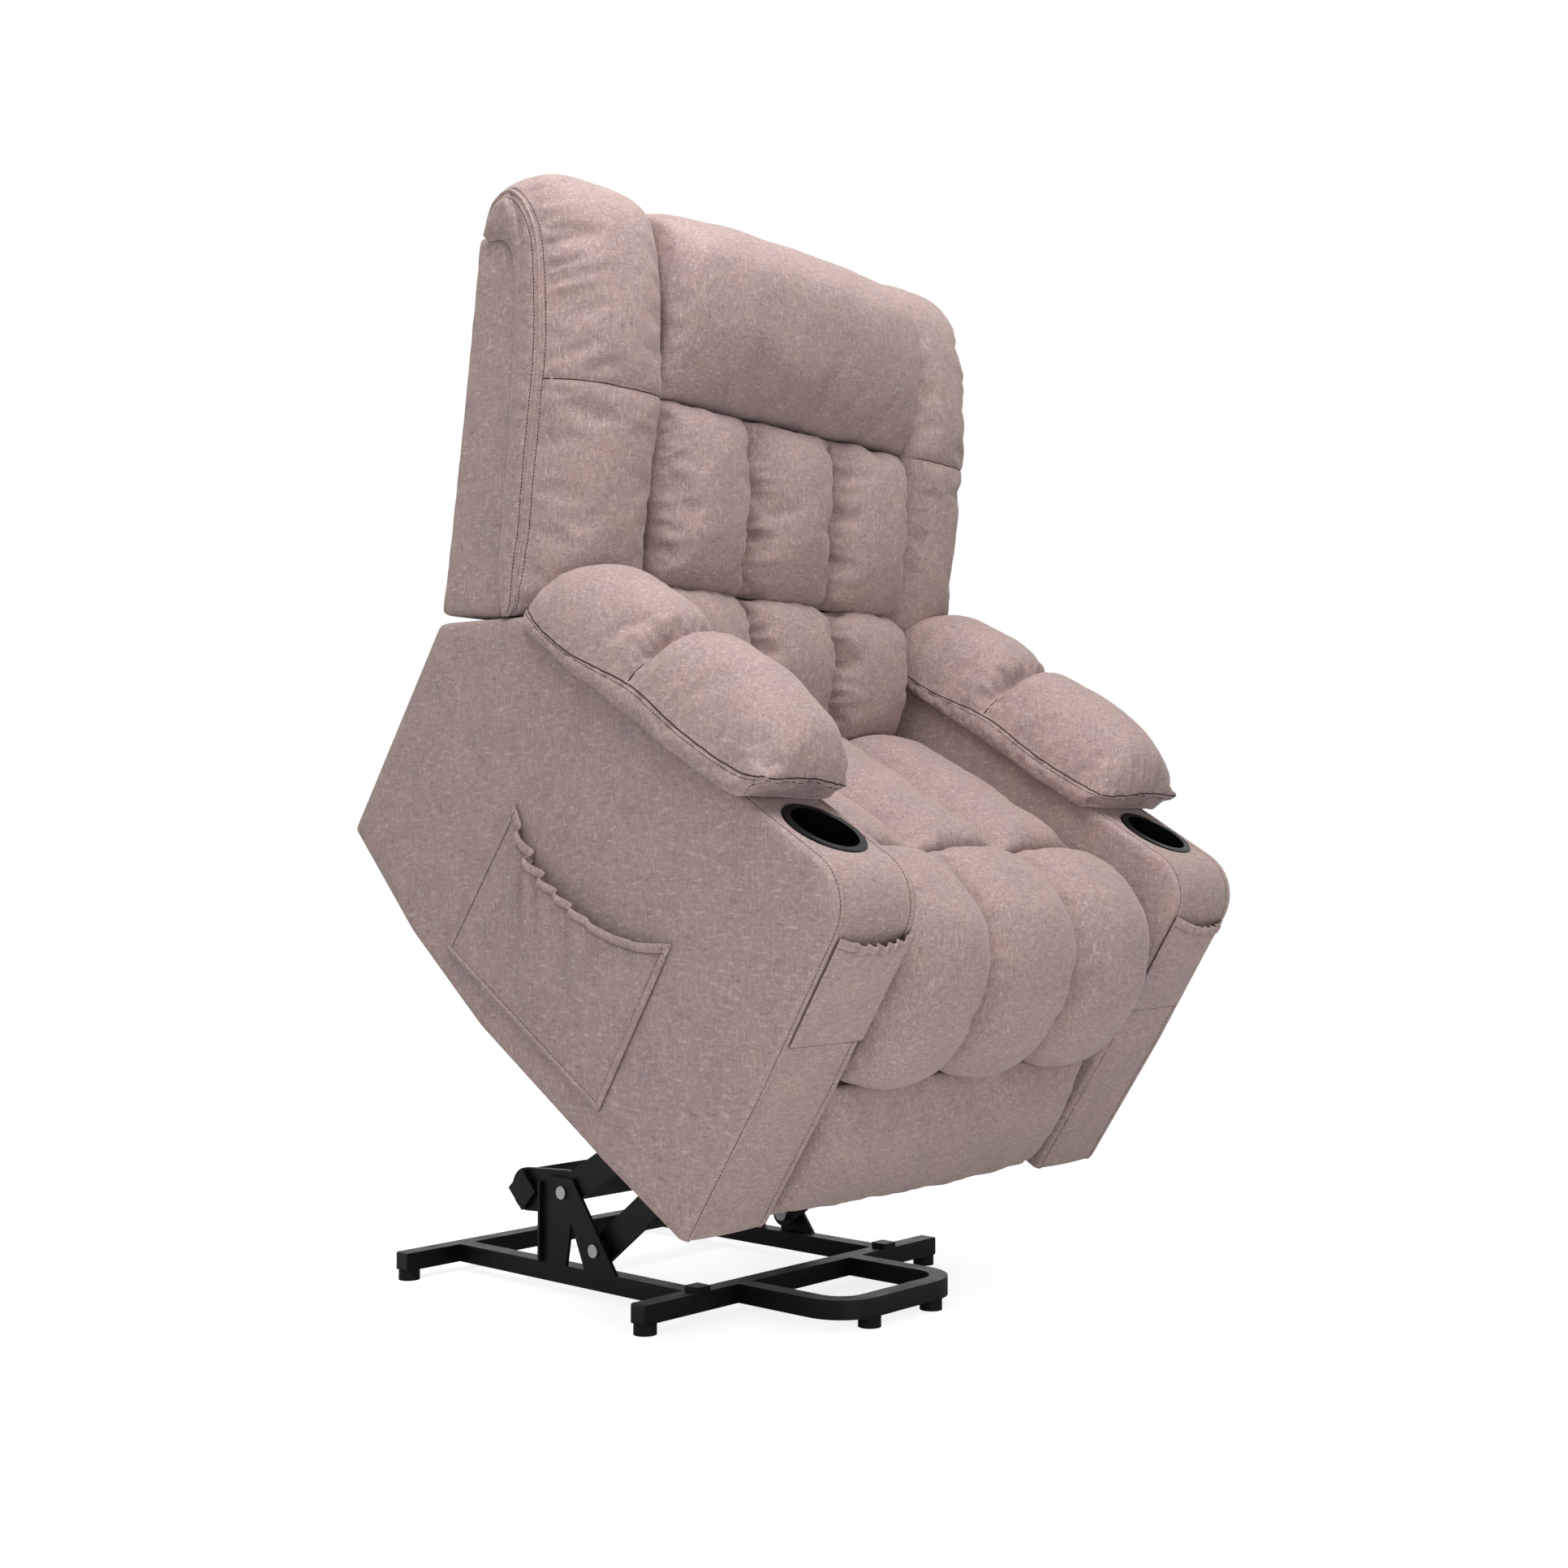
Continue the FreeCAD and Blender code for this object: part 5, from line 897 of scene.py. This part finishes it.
print("cushions ready")

# seams of the cushions: a dark tube low in each groove as painted shade, a raised welt and stitches at the sewn edges

# radii of the dark tubes of painted shade in the grooves (channel, edge) and of the fabric welt
paintedShadeAndWeltRadius = {"channel": 0.0011, "edge": 0.0009, "welt": 0.0026}
stitchLook = {"wing": (0.0046, 0.0008), "pad": (0.0044, 0.0007), "arm": (0.0046, 0.0009), "pocket": (0.0044, 0.0008)}

# each channel seam gets a dark tube: painted shade in the groove between channels
for name, piece, lines, body in (("seatSeamShade", seatPad, seatLines, "seat_frame"),
                                 ("rollSeamShade", rollPad, rollLines, "seat_frame"),
                                 ("upperSeamShade", upperPad, upperLines, "back"),
                                 ("lumbarSeamShade", lumbarPad, lumbarLines, "back")):
    points = pointsOf(piece)
    dress(makeTubes(name, [points[line] for line in lines], paintedShadeAndWeltRadius["channel"], shadowThread), body)

for word, wing, pad in (("Left", wingLeft, padLeft), ("Right", wingRight, padRight)):
    points = pointsOf(wing)
    welt = [points[wingNumber[-1, :, -1]]]
    dress(makeTubes("wingWelt" + word, welt, paintedShadeAndWeltRadius["welt"], fabric, sides=8), "back")
    rows = [points[wingNumber[-2, 2:-2, -1]], points[wingNumber[-1, 2:-2, -2]]]
    dress(stitchesAlong("wingStitches" + word, rows, shadowThread, *stitchLook["wing"]), "back")
    # a dark tube along the wing's cross seam: painted shade in its crease
    line = points[wingNumber[1:-1, wingSeamRow, -1]]
    dress(makeTubes("wingSeam" + word, [line], paintedShadeAndWeltRadius["edge"], shadowThread, (0.0, 0.3, 1.0)), "back")
    points = pointsOf(pad)
    number = numbersOf(padCounts)
    # dark tubes along the pad's rim and cross seam: painted shade in the seam grooves
    edges = [points[line] for line in (number[0, 1:-1, -1], number[-1, 1:-1, -1], number[1:-1, 0, -1],
                                       number[1:-1, -1, -1], number[1:-1, padCross, -1])]
    dress(makeTubes("padSeamShade" + word, edges, paintedShadeAndWeltRadius["edge"], shadowThread, (0.1, 0.3, 1.0)), "seat_frame")
    bands = [points[line] for line in (number[0, 2:-2, -2], number[-1, 2:-2, -2], number[2:-2, 0, -2],
                                       number[2:-2, -1, -2], number[-1, 0, :-1])]
    dress(stitchesAlong("padStitches" + word, bands, shadowThread, *stitchLook["pad"]), "seat_frame")
print("seams ready")

# arms

armOutline = ((-7, 0, 8), (-9, 75, 120), (-13, 215, 120), (-12, 330, 80), (-11, 484, 62), (625, 484, 12),
              (764, 404, 12), (780.5, 82, 9), (600, 32, 160), (420, 6, 160), (150, -1, 100))
armCover = {"inner": 279.0, "outer": 425.0, "count": 360, "panelRings": 20, "stripRings": 9, "wave": 0.8,
            "cupY": 108.0, "cupZ": 483.0, "wellRadius": 45.3, "wellDepth": 77.0,
            # in from the outline, in from the side: over the corner, then a raised band between two stitch lines
            "edge": ((6.5, 0.6), (4.2, 1.6), (2.4, 3.2), (1.0, 5.2), (0.3, 7.4), (0.7, 9.0), (-1.0, 10.4),
                     (-1.6, 12.5), (-1.0, 14.6), (0.7, 16.0), (-0.3, 18.5)), "stitches": (5, 9)}


def roundedLoop(corners, count):
    # straight runs joined by arcs at the corners (y, z, radius), walked in even steps all round
    spots = np.array([c[:2] for c in corners], float)
    runs = []
    for k, (y, z, radius) in enumerate(corners):
        here = spots[k]
        back = spots[k - 1] - here
        ahead = spots[(k + 1) % len(spots)] - here
        back, ahead = back / np.linalg.norm(back), ahead / np.linalg.norm(ahead)
        cut = radius * math.sqrt((1 + back @ ahead) / (1 - back @ ahead + 1e-9))
        start, end = here + back * cut, here + ahead * cut
        t = np.linspace(0, 1, 12)[:, None]
        weight = math.sqrt(max(0.0, (1 - back @ ahead) / 2))  # the arc as a rational curve
        top = (1 - t) ** 2 * start + 2 * weight * t * (1 - t) * here + t ** 2 * end
        runs.append(top / ((1 - t) ** 2 + 2 * weight * t * (1 - t) + t ** 2))
    dense = np.vstack(runs + [runs[0][:1]])
    return evenSteps(dense, count + 1)[:-1]


def insetLoop(loop, inset):
    # the loop moved inwards along its own normals
    normal = squareTo(np.roll(loop, -1, axis=0) - np.roll(loop, 1, axis=0))
    normal *= np.sign(np.sum(normal * (loop - loop.mean(axis=0))))
    return loop - normal * inset


def makeArm(word, side):
    # rings of the arm's outline: out from the middle of one side panel, over its double seam, across
    # the top strip and its other double seam, and back to the middle of the other panel
    s = armCover
    loop = roundedLoop(armOutline, s["count"])
    centre = loop.mean(axis=0)
    first = s["edge"][0]
    panel = []
    for q in np.linspace(0, 1, s["panelRings"])[:-1]:
        ring = centre + (insetLoop(loop, first[0]) - centre) * q
        y, z = ring.T
        wave = s["wave"] * (1 + np.sin(y / 74 + 1.6 * np.sin(z / 88)) * np.cos(z / 97 + y / 260)) * (1 - q ** 8)
        panel.append((ring, first[1] * q ** 4 + wave))
    over = [(insetLoop(loop, inset), deep) for inset, deep in s["edge"]]
    last = s["edge"][-1]
    wide = s["outer"] - s["inner"]
    strip = [(insetLoop(loop, last[0] - 1.2 * math.sin(math.pi * t)), last[1] + (wide - 2 * last[1]) * t)
             for t in np.linspace(0, 1, s["stripRings"])[1:-1]]
    half = panel + over
    rings = [(ring, s["outer"] - deep) for ring, deep in half + strip]
    rings += [(ring, s["inner"] + deep) for ring, deep in half[::-1]]
    points = np.stack([np.column_stack([side * (np.zeros(s["count"]) + x), ring]) for ring, x in rings])
    arm = ringSkin("armBody" + word, points)
    cutWell(arm, side)
    return arm, points, [len(panel) + k for k in s["stitches"]]


def cutWell(arm, side):
    # a plain drum about the cup's axis is cut out of the arm
    s = armCover
    turn = np.linspace(0, 2 * np.pi, 72, endpoint=False)
    centre = side * (s["outer"] + s["inner"]) / 2
    low, high = s["cupZ"] - s["wellDepth"], s["cupZ"] + 20
    drum = ringSkin("wellCutter", np.stack([
        np.column_stack([centre + r * np.cos(turn), s["cupY"] + r * np.sin(turn), np.full(len(turn), z)])
        for r, z in ((0.0, low), (s["wellRadius"], low), (s["wellRadius"], high), (0.0, high))]))
    cutter = arm.modifiers.new("well", "BOOLEAN")
    cutter.operation = "DIFFERENCE"
    cutter.solver = "EXACT"
    cutter.object = drum
    fresh = makeReal(arm)
    fresh.materials.clear()
    fresh.materials.append(fabric)
    fresh.polygons.foreach_set("use_smooth", [True] * len(fresh.polygons))
    fresh.set_sharp_from_angle(angle=math.radians(48))
    bpy.data.objects.remove(drum)


arms = {}
for word, side in bothSides:
    arms[word], rings, stitched = makeArm(word, side)
    dress(arms[word], "seat_frame", ("arm_cover_" + word.lower(),))
    lines = []
    for place in stitched + [len(rings) - 1 - k for k in stitched]:
        line = toWorld(rings[place], "seat")
        lines.append(np.vstack([line, line[:1]]))
    dress(stitchesAlong("armStitches" + word, lines, shadowThread, *stitchLook["arm"]), "seat_frame")
print("arms ready")

# pockets

sidePocket = {
    # rearwards and up: the corners of the sewn patch; its free hem sags between the upper two
    "frontLow": (183, 49), "rearLow": (523, 58), "frontHigh": (183, 285), "rearHigh": (503, 283),
    "sags": {"Right": 46.0, "Left": 20.0}, "held": {"Right": 0.0, "Left": 26.6},  # the left one holds the handset
    "standoff": 13.0, "columns": 170, "rows": 110, "thick": 0.0016, "level": 425.4,
    "weltWide": 7.0, "weltTall": 2.6, "hem": 12.0, "hemTall": 3.0, "tick": 2.4, "ticks": 46, "slant": 0.30,
    "depth": 13.0, "firm": 3.0, "fine": 0.03, "broad": 0.045, "seamed": True,
    # place along the hem, height, reach down the pocket
    "folds": ((0.90, 0.55, 0.6), (0.78, 1.0, 1.1), (0.67, 0.75, 0.8), (0.57, 0.45, 0.5), (0.47, 0.5, 0.7),
              (0.36, 0.25, 0.4), (0.14, 0.3, 0.5)),
}
frontPocket = {
    "kept": 0.0, "inner": 283.0, "outer": 408.0, "low": 277.0, "high": (428.0, 420.0), "sag": 8.0, "standoff": 11.0,
    "columns": 96, "rows": 76, "level": -13.4, "weltWide": 5.0, "weltTall": 0.6, "hem": 12.0, "hemTall": 2.4,
    "tick": 2.4, "ticks": 17, "slant": 0.06, "depth": 5.5, "firm": 2.6, "fine": 0.035, "broad": 0.05, "seamed": False,
    "folds": ((0.10, 0.7, 0.35), (0.24, 0.9, 0.5), (0.36, 0.6, 0.3), (0.50, 1.0, 0.45), (0.63, 0.7, 0.35),
              (0.77, 0.9, 0.5), (0.90, 0.6, 0.3)),
}


def denseEnds(count, share=0.4):
    # steps from 0 to 1 that are closer together at both ends
    t = np.linspace(0, 1, count)
    return share * (0.5 - 0.5 * np.cos(np.pi * t)) + (1 - share) * t


# what the pocket holds, in shares of it: its place along the hem, half its width, its fading, and up from below
pocketGuest = {"place": 0.51, "half": 0.09, "fade": 0.07, "foot": 0.46, "rise": 0.11}
pocketCloth = {"least": 0.7, "freeRun": 25.0, "steep": 0.45, "gentle": 1.5, "hollow": 0.7, "hollowAt": 1.2,
               "hollowRun": 0.8, "endRun": 12.0, "crease": 2.6, "creaseAt": 1.5, "creaseRun": 1.8}


def pocketOff(s, u, t, wide, tall):
    # how far the cloth stands off the arm: a rolled seam at the three sewn edges, a belly that grows
    # towards the hem, slanting folds that hang from the hem, and the rolled hem with its small gathers
    c = pocketCloth
    edge = np.minimum(np.minimum(u, 1 - u) * wide, t * tall)
    below = (1 - t) * tall
    free = np.clip((edge - s["weltWide"]) / c["freeRun"], 0, 1)
    across = np.clip(1 - np.abs(2 * u - 1) ** s["firm"], 0, 1)
    off = c["least"] + s["weltTall"] * np.sin(np.pi * np.clip(edge / s["weltWide"], 0, 1))
    off = off + s["standoff"] * across * np.clip(t, 0, 1) ** 0.8
    for place, high, reach in s["folds"]:
        line = place - s["slant"] * (1 - t)
        width = s["fine"] + s["broad"] * (1 - t)
        fade = np.clip(1 - (1 - t) / reach, 0, 1) ** 1.2
        past = u - line  # steep behind the crest, gentle in front of it, with a hollow behind
        ridge = np.exp(-(past / np.where(past > 0, c["steep"] * width, c["gentle"] * width)) ** 2)
        ridge = ridge - c["hollow"] * np.exp(-((past - c["hollowAt"] * width) / (c["hollowRun"] * width)) ** 2)
        off = off + s["depth"] * high * fade * ridge * free
    band = np.clip((s["hem"] - below) / 3.0, 0, 1)
    roll = np.sqrt(np.clip(1 - ((below - s["hem"] / 2) / (s["hem"] / 2)) ** 2, 0, 1))
    strength = np.interp(u, (0.0, 0.3, 0.6, 1.0), (0.8, 0.5, 1.0, 1.0))
    ticks = s["tick"] * strength * (np.abs(np.sin(u * np.pi * s["ticks"] + 2.0 * np.sin(u * 23))) - 0.6)
    sides = np.clip(np.minimum(u, 1 - u) * wide / c["endRun"], 0, 1)
    off = off + (s["hemTall"] * roll + ticks * roll) * band * sides
    off = off - c["crease"] * np.exp(-((below - s["hem"] - c["creaseAt"]) / c["creaseRun"]) ** 2) * sides
    guest = pocketGuest  # the cloth lies over what the pocket holds
    away = np.clip(np.abs(u - guest["place"]) - guest["half"], 0, None)
    kept = s["kept"] * np.exp(-(away / guest["fade"]) ** 2)
    return np.maximum(np.maximum(off, c["least"]), kept * np.clip((t - guest["foot"]) / guest["rise"], 0, 1))


def onSide(s, side, u, t, off):
    # the patch on the side panel: straight between its corners, with a hem that sags
    low = np.array(s["frontLow"]) + np.subtract(s["rearLow"], s["frontLow"]) * u[..., None]
    high = np.array(s["frontHigh"]) + np.subtract(s["rearHigh"], s["frontHigh"]) * u[..., None]
    spot = low + (high - low) * t[..., None]
    droop = s["sag"] * (1 - np.abs(2 * u - 1) ** 2.6) * t ** 1.6
    return np.stack([side * (s["level"] + off), spot[..., 0], spot[..., 1] - droop], axis=-1)


def onFront(s, side, u, t, off):
    x = s["inner"] + (s["outer"] - s["inner"]) * u
    high = s["high"][0] + (s["high"][1] - s["high"][0]) * u
    z = s["low"] + (high - s["low"]) * t - s["sag"] * (1 - np.abs(2 * u - 1) ** 2) * t ** 3
    return np.stack([side * x, s["level"] - off, z], axis=-1)


def makePocket(name, s, place, side, spots):
    # the patch as one sheet and the lines of its seams: along the sewn edges and a little way in
    u, t = np.meshgrid(denseEnds(s["columns"]), denseEnds(s["rows"]), indexing="ij")
    wide, tall = (float(np.linalg.norm(np.subtract(*pair))) for pair in spots)
    points = place(s, side, u, t, pocketOff(s, u, t, wide, tall))
    quads = quadsOf(np.arange(u.size).reshape(u.shape))
    patch = makePiece(name, toWorld(points, "seat"), quads, fabric, closed=False)
    column = int(np.argmin(np.abs(u[:, 0] * wide - s["weltWide"])))
    row = int(np.argmin(np.abs(t[0] * tall - s["weltWide"])))
    hemRow = int(np.argmin(np.abs((1 - t[0]) * tall - s["hem"] - pocketCloth["creaseAt"])))
    if s["seamed"]:
        border = np.vstack([points[0, ::-1], points[1:, 0], points[-1, 1:]])
        inset = np.vstack([points[column, :row:-1], points[column:-column, row], points[-column - 1, row + 1:]])
    else:
        border, inset = points[:, 0], points[2:-2, hemRow]
    return patch, points, border, inset, points[2:-2, hemRow]


def thicken(patch, thick):
    wall = patch.modifiers.new("thickness", "SOLIDIFY")
    wall.thickness = thick
    wall.offset = 1.0
    return patch


def finishPocket(word, kind, made, outward, square):
    # outward: the way the pocket's open side looks from the arm
    patch, points, border, inset, hem = made
    if np.array(patch.data.polygons[len(patch.data.polygons) // 2].normal) @ toWorld(outward, "base") < 0:
        patch.data.flip_normals()
    thicken(patch, sidePocket["thick"])
    dress(patch, "seat_frame", (kind + "_pocket_" + word.lower(),))
    proud = np.array(outward) * 1.8
    # the border and hem lines are dark tubes of painted shade in the seam and hem creases; the stitches are thread
    lines = [toWorld(border + proud * 0.6, "seat"), toWorld(hem + proud * 0.6, "seat")]
    dress(makeTubes(kind + "PocketSeamShade" + word, lines, paintedShadeAndWeltRadius["edge"], shadowThread, square), "seat_frame")
    stitches = [toWorld(inset + proud, "seat")]
    dress(stitchesAlong(kind + "PocketStitches" + word, stitches, shadowThread, *stitchLook["pocket"]), "seat_frame")


for word, side in bothSides:
    s = dict(sidePocket, sag=sidePocket["sags"][word], kept=sidePocket["held"][word])
    spots = ((s["rearHigh"], s["frontHigh"]), (s["frontHigh"], s["frontLow"]))
    finishPocket(word, "side", makePocket("sidePocket" + word, s, onSide, side, spots),
                 (float(side), 0.0, 0.0), (1.0, 0.0, 0.0))
    s = frontPocket
    spots = (((s["outer"], 0), (s["inner"], 0)), ((0, s["high"][0]), (0, s["low"])))
    finishPocket(word, "front", makePocket("frontPocket" + word, s, onFront, side, spots),
                 (0.0, -1.0, 0.0), (0.0, 1.0, 0.2))
print("pockets ready")

# straps under the seat

straps = {"front": 36.0, "rear": 492.0, "level": 286.3, "half": 220.0, "long": 5, "cross": 5, "wide": 50.0,
          "wave": 0.7, "thick": 0.0012}


def makeStraps():
    # flat bands that pass over and under each other: a wave along each, half a turn out in the next
    pieces, faces, total = [], [], 0
    for along, count in (("long", straps["long"]), ("cross", straps["cross"])):
        low, high = (straps["front"], straps["rear"]) if along == "long" else (-straps["half"], straps["half"])
        edge = (-straps["half"], straps["half"]) if along == "long" else (straps["front"], straps["rear"])
        centres = np.linspace(edge[0] + straps["wide"] / 2, edge[1] - straps["wide"] / 2, count)
        for number, centre in enumerate(centres):
            run, across = np.meshgrid(np.linspace(low, high, 80), np.linspace(-1, 1, 5), indexing="ij")
            sign = 1 if (number + (along == "cross")) % 2 else -1
            z = straps["level"] + sign * straps["wave"] * np.cos((run - low) / (high - low) * np.pi * (count - 1))
            side = centre + across * straps["wide"] / 2
            grid = np.stack([side, run, z] if along == "long" else [run, side, z], axis=-1)
            pieces.append(grid.reshape(-1, 3))
            squares = quadsOf(np.arange(run.size).reshape(run.shape) + total)
            faces.append(squares if along == "cross" else squares[:, ::-1])
            total += run.size
    return makePiece("seatStraps", toWorld(np.vstack(pieces), "seat"), np.vstack(faces), finishes["webbing"],
                     closed=False)


strapPiece = thicken(makeStraps(), straps["thick"])
dress(strapPiece, "seat_frame", ("seat_webbing",))

# end caps of the base's crossbars and the cloth edge of the footrest board

barCaps = {"size": 25.0, "reach": 296.5, "proud": 2.2, "sunk": 1.2, "level": 26.5, "rows": (-28.5, 452.5),
           "inset": 0.3, "round": 1.3, "counts": (7, 11, 11)}
for row, y in zip(("Front", "Rear"), barCaps["rows"]):
    for word, side in bothSides:
        s = barCaps
        inner, outer = sorted((side * (s["reach"] - s["sunk"]), side * (s["reach"] + s["proud"])))
        half = s["size"] / 2 - s["inset"]
        low, high = (inner, y - half, s["level"] - half), (outer, y + half, s["level"] + half)
        cap, _ = roundedBlock("barCap" + row + word, low, high, s["round"], s["counts"], "base",
                              finishes["motor_plastic"])
        dress(cap, "base")

footEdges = {  # low corner, high corner, grid
    "Right": ((-268.6, 10.0, 6.0), (-262.2, 57.5, 189.0), (5, 9, 20)),
    "Left": ((262.2, 10.0, 6.0), (268.6, 57.5, 189.0), (5, 9, 20)),
    "Low": ((-267.5, 8.2, 1.8), (267.5, 57.5, 14.0), (40, 9, 5)),
}
for word, (low, high, counts) in footEdges.items():
    edge, _ = roundedBlock("footrestEdge" + word, low, high, 2.9, counts, "seat", fabric)
    dress(edge, "footrest_panel")
print("base caps ready")

# stage

stage = {"floorHalf": 30.0, "floorTone": (236, 236, 238), "floorGlow": 0.8, "daylight": 0.275,
         "cameraPlace": (-2.0245, -1.8257, 0.6037), "cameraPitch": 92.04, "cameraTurn": -48.08, "lens": 45.11}
lamps = (
    # name, place, size, watts
    ("topSoft", (-0.6, -0.6, 3.2), 2.4, 90.0),
    ("leftSoft", (-3.2, -0.6, 1.4), 2.2, 15.0),
    ("frontLow", (-0.8, -2.3, 0.32), 1.3, 13.0),
)
lampAim = (0.0, 0.0, 0.7)


def makeFloor():
    # a wide level square; its own tone shows to the camera and it still takes the chair's shadow
    half = stage["floorHalf"]
    corners = np.array([(-half, -half, 0), (half, -half, 0), (half, half, 0), (-half, half, 0)])
    pale = Finish("paleFloor", Roughness=0.9, Specular_IOR_Level=0.1)
    speck = pale.noise(3.0, 2.0)
    tone = toLinear(*stage["floorTone"])
    pale.join(pale.blend(speck, tone, tuple(c * 0.98 for c in tone[:3]) + (1.0,)), "Base Color")
    path = pale.add("LightPath")
    seen = pale.sum(path.outputs["Is Camera Ray"], stage["floorGlow"], "MULTIPLY")
    pale.shader.inputs["Emission Color"].default_value = (1, 1, 1, 1)
    pale.join(seen, "Emission Strength")
    floor = makePiece("floor", corners, np.array([[0, 1, 2, 3]]), pale.material, closed=False, smooth=False)


def makeLight():
    # an even grey-white room that lights the chair, shown pure white to the camera and in gloss, and soft lamps
    world = bpy.data.worlds.new("studio")
    bpy.context.scene.world = world
    world.use_nodes = True
    tree = world.node_tree
    tree.nodes.clear()
    path, first, second, choose, lit, shown, out = (tree.nodes.new("ShaderNode" + kind) for kind in (
        "LightPath", "Math", "Math", "MixShader", "Background", "Background", "OutputWorld"))
    first.operation = second.operation = "MAXIMUM"
    for node, tint, strength in ((lit, (1.0, 0.985, 0.975, 1.0), stage["daylight"]), (shown, (1, 1, 1, 1), 1.0)):
        node.inputs["Color"].default_value = tint
        node.inputs["Strength"].default_value = strength
    for source, target in (
            (path.outputs["Is Camera Ray"], first.inputs[0]), (path.outputs["Is Glossy Ray"], first.inputs[1]),
            (first.outputs[0], second.inputs[0]), (path.outputs["Is Transmission Ray"], second.inputs[1]),
            (second.outputs[0], choose.inputs[0]), (lit.outputs[0], choose.inputs[1]),
            (shown.outputs[0], choose.inputs[2]), (choose.outputs[0], out.inputs["Surface"])):
        tree.links.new(source, target)
    for name, place, size, watts in lamps:
        data = bpy.data.lights.new(name, "AREA")
        data.shape = "DISK"
        data.size = size
        data.energy = watts
        lamp = addObject(name, data)
        lamp.location = place
        lamp.rotation_euler = (Vector(lampAim) - Vector(place)).to_track_quat("-Z", "Y").to_euler()


def makeCamera():
    data = bpy.data.cameras.new("viewer")
    data.lens = stage["lens"]
    data.sensor_width = 36.0
    camera = addObject("viewer", data)
    camera.location = stage["cameraPlace"]
    camera.rotation_euler = (math.radians(stage["cameraPitch"]), 0.0, math.radians(stage["cameraTurn"]))
    bpy.context.scene.camera = camera


makeFloor()
makeLight()
makeCamera()
bpy.context.scene.view_settings.view_transform = "Standard"
print("stage ready")
